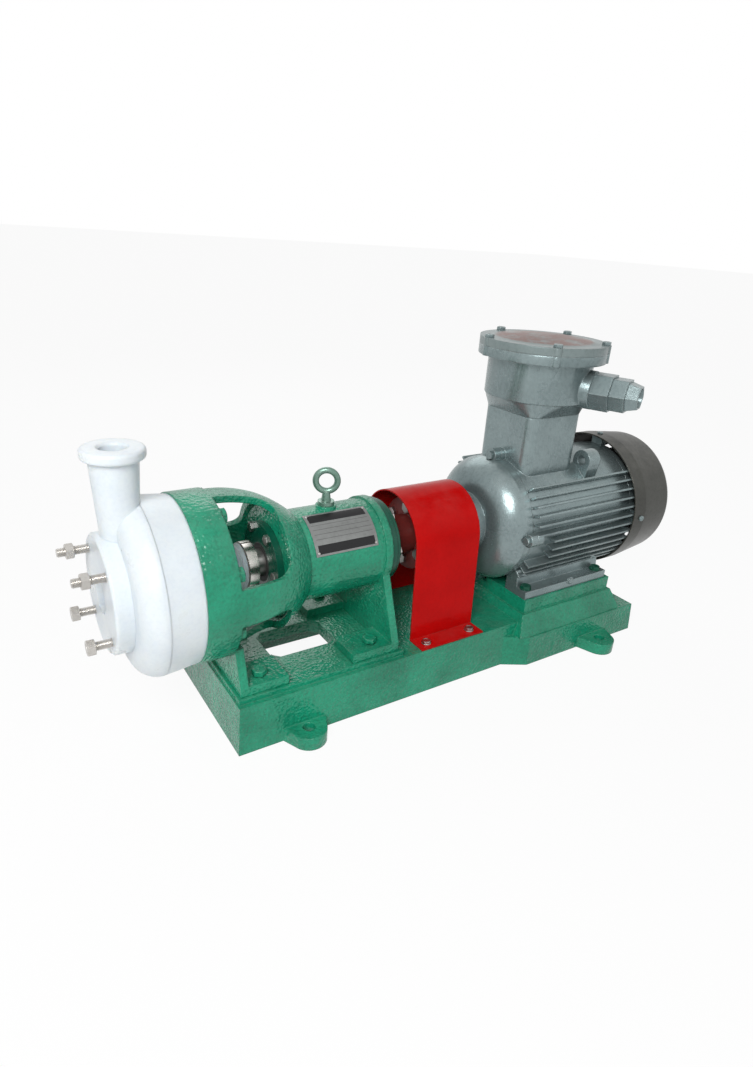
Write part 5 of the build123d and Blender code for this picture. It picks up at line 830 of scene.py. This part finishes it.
@dataclass(frozen=True)
class HexFastener:
    """Hexagon bolt or nut with the chamfer that real ones have.

    Attributes:
        flats: Width across the flats.
        height: Height of the head or nut.
        shank: Radius of the shank or of the bore.
        washer: Radius of the washer under the head, or 0 for none.
        washer_thick: Thickness of the washer.
        around: Steps round the axis.
        face_share: Radius of the flat end face, as a share of the flats.
        dish_shares: Outer and inner radius of the dished mark's rim, as shares of the flats.
        dish_depth: Depth of the dished mark on a bolt's head.
        tip: Chamfer of the shank's end.
        lead: How far a nut's countersink opens its bore.
        thread: How far a nut's thread stands into its bore.
        sink: Depth of a nut's countersink.
    """

    flats: float
    height: float
    shank: float
    washer: float = 0.0
    washer_thick: float = 1.6 * MM
    around: int = 48
    face_share: float = 0.475
    dish_shares: tuple[float, float] = (0.36, 0.33)
    dish_depth: float = 0.3 * MM
    tip: float = 0.8 * MM
    lead: float = 0.9 * MM
    thread: float = 0.6 * MM
    sink: float = 1.5 * MM

    def ring(self, radius: float, height: float) -> list[tuple[float, float]]:
        """Give a round row of the skin."""
        return [(radius, height)] * self.around

    def reach(self, turn: int) -> float:
        """Give the hexagon's radius at a step round the axis."""
        angle = math.tau * turn / self.around
        return self.flats / 2 / math.cos((angle + math.pi / 6) % (math.pi / 3) - math.pi / 6)

    def shoulder(self, turn: int) -> float:
        """Give how far the 30 degree chamfer drops at a step round the axis."""
        past = max(0.0, self.reach(turn) - self.face_share * self.flats)
        return past * math.tan(math.radians(30.0))

    def spin(
        self, shape: bmesh.types.BMesh, rows: Rows, foot: Vector, axis: Vector, closed: bool
    ) -> None:
        """Skin rows of reach and height round an axis.

        Args:
            shape: Where the skin goes.
            rows: For each row, reach and height at every step round.
            foot: Where height is zero.
            axis: Direction of growing height.
            closed: Whether the last row joins the first, as in a nut, or both ends are capped.
        """
        turned = axis.to_track_quat("Z", "Y").to_matrix()
        rings = []
        for row in rows:
            ring = []
            for turn, (reach, height) in enumerate(row):
                angle = math.tau * turn / self.around
                place = Vector((reach * math.cos(angle), reach * math.sin(angle), height))
                ring.append(shape.verts.new(foot + turned @ place))
            rings.append(ring)
        skin(shape, rings, closed)

    def bolt(self, shape: bmesh.types.BMesh, foot: Vector, axis: Vector, length: float) -> None:
        """Add one bolt with its washer.

        Args:
            shape: Where the bolt goes.
            foot: End of the shank.
            axis: Direction from the shank to the head.
            length: Whole length over the head.
        """
        steps = range(self.around)
        seat = length - self.height
        rows = [self.ring(self.shank - self.tip, 0.0)]
        rows.append(self.ring(self.shank, self.tip))
        rows.append(self.ring(self.shank, seat))
        if self.washer:
            rows.append(self.ring(self.washer, seat))
            seat += self.washer_thick
            rows.append(self.ring(self.washer, seat))
        rows.append([(self.reach(turn), seat) for turn in steps])
        rows.append([(self.reach(turn), length - self.shoulder(turn)) for turn in steps])
        rows.append(self.ring(self.face_share * self.flats, length))
        rim, dish = self.dish_shares
        rows.append(self.ring(rim * self.flats, length))
        rows.append(self.ring(dish * self.flats, length - self.dish_depth))
        self.spin(shape, rows, foot, axis, closed=False)

    def nut(self, shape: bmesh.types.BMesh, foot: Vector, axis: Vector) -> None:
        """Add one nut.

        Args:
            shape: Where the nut goes.
            foot: Middle of its lower face.
            axis: Direction of its bore.
        """
        steps = range(self.around)
        rim = self.face_share * self.flats
        mouth, bore = self.shank + self.lead, self.shank - self.thread
        rows = [
            self.ring(mouth, 0.0),
            self.ring(rim, 0.0),
            [(self.reach(turn), self.shoulder(turn)) for turn in steps],
            [(self.reach(turn), self.height - self.shoulder(turn)) for turn in steps],
            self.ring(rim, self.height),
            self.ring(mouth, self.height),
            self.ring(bore, self.height - self.sink),
            self.ring(bore, self.sink),
        ]
        self.spin(shape, rows, foot, axis, closed=True)


def fit_fasteners(
    node: str,
    kind: HexFastener,
    axis: Point,
    body: str,
    finish: Finish,
    nuts: bool = False,
) -> None:
    """Put chamfered fasteners in place of a node's plain ones.

    Args:
        node: Name of the CAD node.
        kind: Sizes of the fastener.
        axis: Direction from the shank to the head, or of a nut's bore.
        body: Name of the body they ride on.
        finish: Their finish.
        nuts: Whether they are nuts.
    """
    shape = bmesh.new()
    along = Vector(axis)
    for low, high in solids_of(node):
        middle = (low + high) / 2
        length = abs((high - low).dot(along))
        foot = middle - along * length / 2
        if nuts:
            kind.nut(shape, foot, along)
        else:
            kind.bolt(shape, foot, along, length)
    piece = place_piece("hex_" + node, shape, body, finish)
    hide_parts(node)


@dataclass
class PumpHead:
    """White wet end with its suction studs, casing bolts and shaft seal.

    Attributes:
        stud_radius: Outer radius of the suction studs' thread.
        thread_pitch: Pitch of that thread.
        thread_depth: Depth of that thread.
        stud_reach: How far each stud stands off the shaft line, across and up.
        stud_foot_x: Where the studs enter the suction flange.
        stud_tips: Where the lower and the upper pair of studs end.
        stud_lead: Length over which a stud's end tapers.
        stud_tip_share: Radius of a stud's end, as a share of the thread's.
        stud_around: Steps round a stud.
        steps_a_turn: Steps along each turn of thread.
        nut: Nuts on the suction studs.
        casing_bolt: Bolts behind the bracket's ring.
        gland_bolt: Bolts of the seal gland.
    """

    stud_radius: float = 6.0 * MM
    thread_pitch: float = 1.75 * MM
    thread_depth: float = 0.9 * MM
    stud_reach: float = 44.75 * MM
    stud_foot_x: float = -456.0 * MM
    stud_tips: tuple[float, float] = (-500.0 * MM, -508.0 * MM)
    stud_lead: float = 1.2 * MM
    stud_tip_share: float = 0.82
    stud_around: int = 24
    steps_a_turn: int = 6
    nut: HexFastener = HexFastener(19.0 * MM, 10.0 * MM, 6.0 * MM)
    casing_bolt: HexFastener = HexFastener(19.2 * MM, 7.8 * MM, 6.0 * MM, washer=11.0 * MM)
    gland_bolt: HexFastener = HexFastener(10.8 * MM, 3.9 * MM, 3.0 * MM)

    def build(self) -> None:
        """Dress the wet end and cut its studs' threads."""
        dress(FLUOROPLASTIC, "pump_casing", "casing_cover", "impeller", "impeller_cap")
        dress(FLUOROPLASTIC, "seal_bellows")
        dress(STAINLESS, "seal_gland", "seal_clamp", "shaft_sleeve")
        dress(CERAMIC, "seal_seat")
        self.studs()
        fit_fasteners(
            "suction_nuts", self.nut, TO_PUMP, "base", STAINLESS, nuts=True
        )
        fit_fasteners("casing_bolts", self.casing_bolt, TO_MOTOR, "base", GREEN)
        fit_fasteners("gland_bolts", self.gland_bolt, TO_MOTOR, "base", STAINLESS)

    def studs(self) -> None:
        """Threaded studs in place of the plain ones."""
        shape = bmesh.new()
        for side in (-1.0, 1.0):
            for level in (-1.0, 1.0):
                tip = self.stud_tips[1] if level > 0 else self.stud_tips[0]
                self.thread(shape, side * self.stud_reach, SHAFT_Z + level * self.stud_reach, tip)
        piece = place_piece("threaded_suction_studs", shape, "base", STAINLESS)
        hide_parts("suction_studs")

    def thread(self, shape: bmesh.types.BMesh, y: float, z: float, tip: float) -> None:
        """Add one threaded rod along the shaft's direction.

        Args:
            shape: Where the rod goes.
            y: Place of its axis across.
            z: Height of its axis.
            tip: Place of its outer end along the shaft.
        """
        steps = int((self.stud_foot_x - tip) / (self.thread_pitch / self.steps_a_turn))
        rows = []
        for step in range(steps + 1):
            x = tip + (self.stud_foot_x - tip) * step / steps
            lead_in = min(1.0, (x - tip) / self.stud_lead)
            share = self.stud_tip_share + (1.0 - self.stud_tip_share) * lead_in
            row = []
            for turn in range(self.stud_around):
                angle = math.tau * turn / self.stud_around
                phase = (x / self.thread_pitch - turn / self.stud_around) % 1.0
                groove = self.thread_depth * (1.0 - abs(2.0 * phase - 1.0))
                radius = (self.stud_radius - groove) * share
                across, up = radius * math.cos(angle), radius * math.sin(angle)
                row.append(shape.verts.new((x, y + across, z + up)))
            rows.append(row)
        skin(shape, rows, closed=False)


@dataclass
class BearingBracket:
    """Green lantern bracket with the pump shaft's bearings."""

    rounding: float = 1.5 * MM
    foot_bolt: HexFastener = HexFastener(18.6 * MM, 7.8 * MM, 6.0 * MM)

    def build(self) -> None:
        """Dress the bracket and what it holds."""
        dress(GREEN, "lantern_bracket")
        soften(self.rounding, "lantern_bracket")
        dress(DARK_GREEN, "front_bearing_cover", "rear_bearing_cover")
        dress(STEEL, "pump_shaft", "bearing_locknut", "bearing_cover_bolts")
        dress(EYE_PAINT, "eye_bolt")
        fit_fasteners("pump_foot_bolts", self.foot_bolt, UP, "base", GREEN)
        dress(GROUND_STEEL, "pump_bearing_outer_races", "pump_bearing_inner_races")
        dress(GROUND_STEEL, "pump_bearing_balls")
        dress(RUBBER, "lip_seals")
        dress(PLATE, "nameplate")
        dress(STEEL, "nameplate_rivets")


@dataclass
class Drive:
    """Pin coupling under its red guard."""

    guard_bolt: HexFastener = HexFastener(
        12.8 * MM, 5.2 * MM, 4.0 * MM, washer=8.0 * MM, washer_thick=1.0 * MM
    )

    def build(self) -> None:
        """Dress the coupling and the guard."""
        dress(COUPLING_RED, "pump_coupling_half", "motor_coupling_half")
        dress(STEEL, "coupling_pins", "pump_key", "motor_key")
        fit_fasteners("guard_bolts", self.guard_bolt, UP, "base", STEEL)
        dress(RUBBER, "coupling_bushes")
        dress(RED, "coupling_guard")


@dataclass
class Motor:
    """Ribbed motor with its fan and terminal box.

    Attributes:
        earth_x: Place of the earth screw along the shaft.
        earth_z: Height of the earth screw.
        earth_sunk: How deep the earth screw goes into the frame.
        earth_bolt: The earth screw's own sizes.
        foot_bolt: Bolts that hold the motor down.
        lid_bolt: Bolts of the terminal box's lid.
        rounding: Rounding of the terminal box's edges.
    """

    earth_x: float = 276.0 * MM
    earth_z: float = 124.0 * MM
    earth_sunk: float = 5.0 * MM
    earth_bolt: HexFastener = HexFastener(
        9.0 * MM, 4.0 * MM, 3.0 * MM, washer=6.8 * MM, washer_thick=1.2 * MM
    )
    foot_bolt: HexFastener = HexFastener(16.0 * MM, 6.5 * MM, 5.0 * MM, washer=9.8 * MM)
    lid_bolt: HexFastener = HexFastener(12.8 * MM, 5.2 * MM, 4.0 * MM)
    rounding: float = 1.2 * MM

    def earth_screw(self) -> None:
        """Seat the earthing screw and its washer on the flank of the frame."""
        outward = Vector(TO_NEAR)
        start = Vector((self.earth_x, 0.0, self.earth_z)) + outward
        found, seat, _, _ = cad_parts["motor_frame"].ray_cast(start, -outward)
        if not found:
            LOG.warning("no flank behind the earth screw")
            return
        shape = bmesh.new()
        foot = seat - outward * self.earth_sunk
        self.earth_bolt.bolt(shape, foot, outward, self.earth_sunk + self.earth_bolt.height)
        place_piece("earth_screw", shape, "base", GREY)

    def build(self) -> None:
        """Dress the motor and its terminal box."""
        dress(GREY, "motor_frame", "drive_end_shield", "fan_end_shield", "terminal_box")
        dress(GREY, "cable_gland_body", "cable_gland_nut", "cable_gland_cap")
        dress(COVER_GREY, "fan_cover")
        dress(LID_PAINT, "terminal_box_lid")
        dress(STEEL, "motor_shaft")
        dress(GREY, "end_shield_bolts", "fan_cover_screws")
        fit_fasteners(
            "motor_foot_bolts", self.foot_bolt, UP, "base", DARK_GREEN
        )
        fit_fasteners("lid_bolts", self.lid_bolt, UP, "base", GREY)
        dress(GROUND_STEEL, "motor_bearing_outer_races", "motor_bearing_inner_races")
        dress(GROUND_STEEL, "motor_bearing_balls")
        dress(CORE_STEEL, "stator_core", "rotor_core")
        dress(COPPER, "stator_windings")
        dress(FAN_PLASTIC, "cooling_fan")
        dress(RUBBER, "gland_seal")
        dress(BOARD, "terminal_board")
        dress(BRASS, "terminal_posts")
        soften(self.rounding, "terminal_box")
        self.earth_screw()


@dataclass
class CommonBase:
    """Green cast base."""

    rounding: float = 3.0 * MM

    def build(self) -> None:
        """Dress the base and round its edges."""
        dress(GREEN, "base_plate")
        soften(self.rounding, "base_plate")


@dataclass(frozen=True)
class Lamp:
    """Square soft lamp that looks at the middle of the pump set.

    Attributes:
        name: Name of the lamp.
        place: Where it hangs.
        size: Side of its face, in metres.
        power: Its power in watts.
    """

    name: str
    place: Point
    size: float
    power: float

    def hang(self) -> None:
        """Put the lamp in the scene."""
        data = bpy.data.lights.new(self.name, "AREA")
        data.size = self.size
        data.energy = self.power
        lamp = bpy.data.objects.new(self.name, data)
        bpy.context.scene.collection.objects.link(lamp)
        aim = Vector((0.0, 0.0, SHAFT_Z)) - Vector(self.place)
        lamp.rotation_euler = aim.to_track_quat("-Z", "Y").to_euler()
        lamp.location = self.place


@dataclass
class Studio:
    """Camera, pale floor and soft light.

    Attributes:
        eye: Place of the camera, in metres.
        turn: Turn of the camera about the vertical, in degrees.
        rise: How far it looks down, in degrees.
        roll: How far it is tipped about its own line of sight, in degrees.
        lens: Focal length, in millimetres.
        sensor: Width of the sensor, in millimetres.
        near_clip: Nearest distance it sees.
        floor_side: Side of the floor, in metres.
        floor_grey: Grey of the floor under the lamps.
        floor_white_share: How much of the floor's own light is seen directly; the rest is shadow.
        sky: Strength of the even light from all round.
        lamps: The soft lamps.
    """

    eye: Point = (-0.6115, -0.8096, 0.6581)
    turn: float = -34.193
    rise: float = 23.603
    roll: float = 3.999
    lens: float = 23.337
    sensor: float = 36.0
    near_clip: float = 10.0 * MM
    floor_side: float = 60.0
    floor_grey: float = 0.86
    floor_white_share: float = 0.93
    sky: float = 0.28
    lamps: tuple[Lamp, ...] = (
        Lamp("key", (-1.15, -1.05, 1.35), 0.8, 27.0),
        Lamp("fill", (1.3, -1.9, 1.2), 1.6, 3.0),
        Lamp("back", (0.4, 1.7, 1.6), 1.4, 9.0),
    )

    def build(self) -> None:
        """Set up the camera, the floor, the lamps and the world."""
        self.camera()
        self.floor()
        for lamp in self.lamps:
            lamp.hang()
        self.world()
        bpy.context.scene.view_settings.view_transform = "Standard"

    def camera(self) -> None:
        """Place the camera where the photograph was taken from."""
        turn, rise, roll = (math.radians(angle) for angle in (self.turn, self.rise, self.roll))
        level = Vector((math.sin(turn), -math.cos(turn), 0.0)) * math.cos(rise)
        back = level + Vector(UP) * math.sin(rise)
        right = (-back).cross(Vector(UP)).normalized()
        up = right.cross(-back)
        side = right * math.cos(roll) + up * math.sin(roll)
        top = up * math.cos(roll) - right * math.sin(roll)
        data = bpy.data.cameras.new("camera")
        data.lens = self.lens
        data.sensor_width = self.sensor
        data.clip_start = self.near_clip
        camera = bpy.data.objects.new("camera", data)
        bpy.context.scene.collection.objects.link(camera)
        placed = Matrix.Identity(4)
        for column, axis in enumerate((side, top, back, Vector(self.eye))):
            for row in range(3):
                placed[row][column] = axis[row]
        camera.matrix_world = placed
        bpy.context.scene.camera = camera

    def floor(self) -> None:
        """Lay a wide pale floor under the base."""
        half = self.floor_side / 2
        shape = bmesh.new()
        signs = ((-1, -1), (1, -1), (1, 1), (-1, 1))
        shape.faces.new([shape.verts.new((x * half, y * half, 0.0)) for x, y in signs])
        mesh = bpy.data.meshes.new("studio_floor")
        shape.to_mesh(mesh)
        shape.free()
        floor = bpy.data.objects.new("studio_floor", mesh)
        bpy.context.scene.collection.objects.link(floor)
        material = bpy.data.materials.new("studio_floor")
        material.use_nodes = True
        material.node_tree.nodes.clear()
        graph = Graph(material.node_tree)
        grey = (self.floor_grey, self.floor_grey, self.floor_grey, 1.0)
        matt = graph.add("BsdfPrincipled", Base_Color=grey, Roughness=0.9)
        white = graph.add("Emission", Color=WHITE, Strength=1.0)
        share = graph.times(graph.seen(), self.floor_white_share)
        mixed = graph.add("MixShader", i0=share, i1=matt.outputs[0], i2=white.outputs[0])
        graph.add("OutputMaterial", Surface=mixed.outputs[0])
        mesh.materials.append(material)

    def world(self) -> None:
        """Even light from all round, white where it is seen directly."""
        world = bpy.data.worlds.new("studio")
        bpy.context.scene.world = world
        world.use_nodes = True
        world.node_tree.nodes.clear()
        graph = Graph(world.node_tree)
        strength = graph.ramp(graph.seen(), 0.0, 1.0, self.sky, 1.0)
        light = graph.add("Background", Color=WHITE, Strength=strength)
        graph.add("OutputWorld", Surface=light.outputs[0])


def main() -> None:
    """Build the pump set's looks in order."""
    logging.basicConfig(level=logging.INFO, format="%(name)s: %(message)s")
    for assembly in (Studio(), CommonBase(), PumpHead(), BearingBracket(), Drive(), Motor()):
        assembly.build()
        LOG.info("finished %s", type(assembly).__name__)


if __name__ == "__main__":
    main()
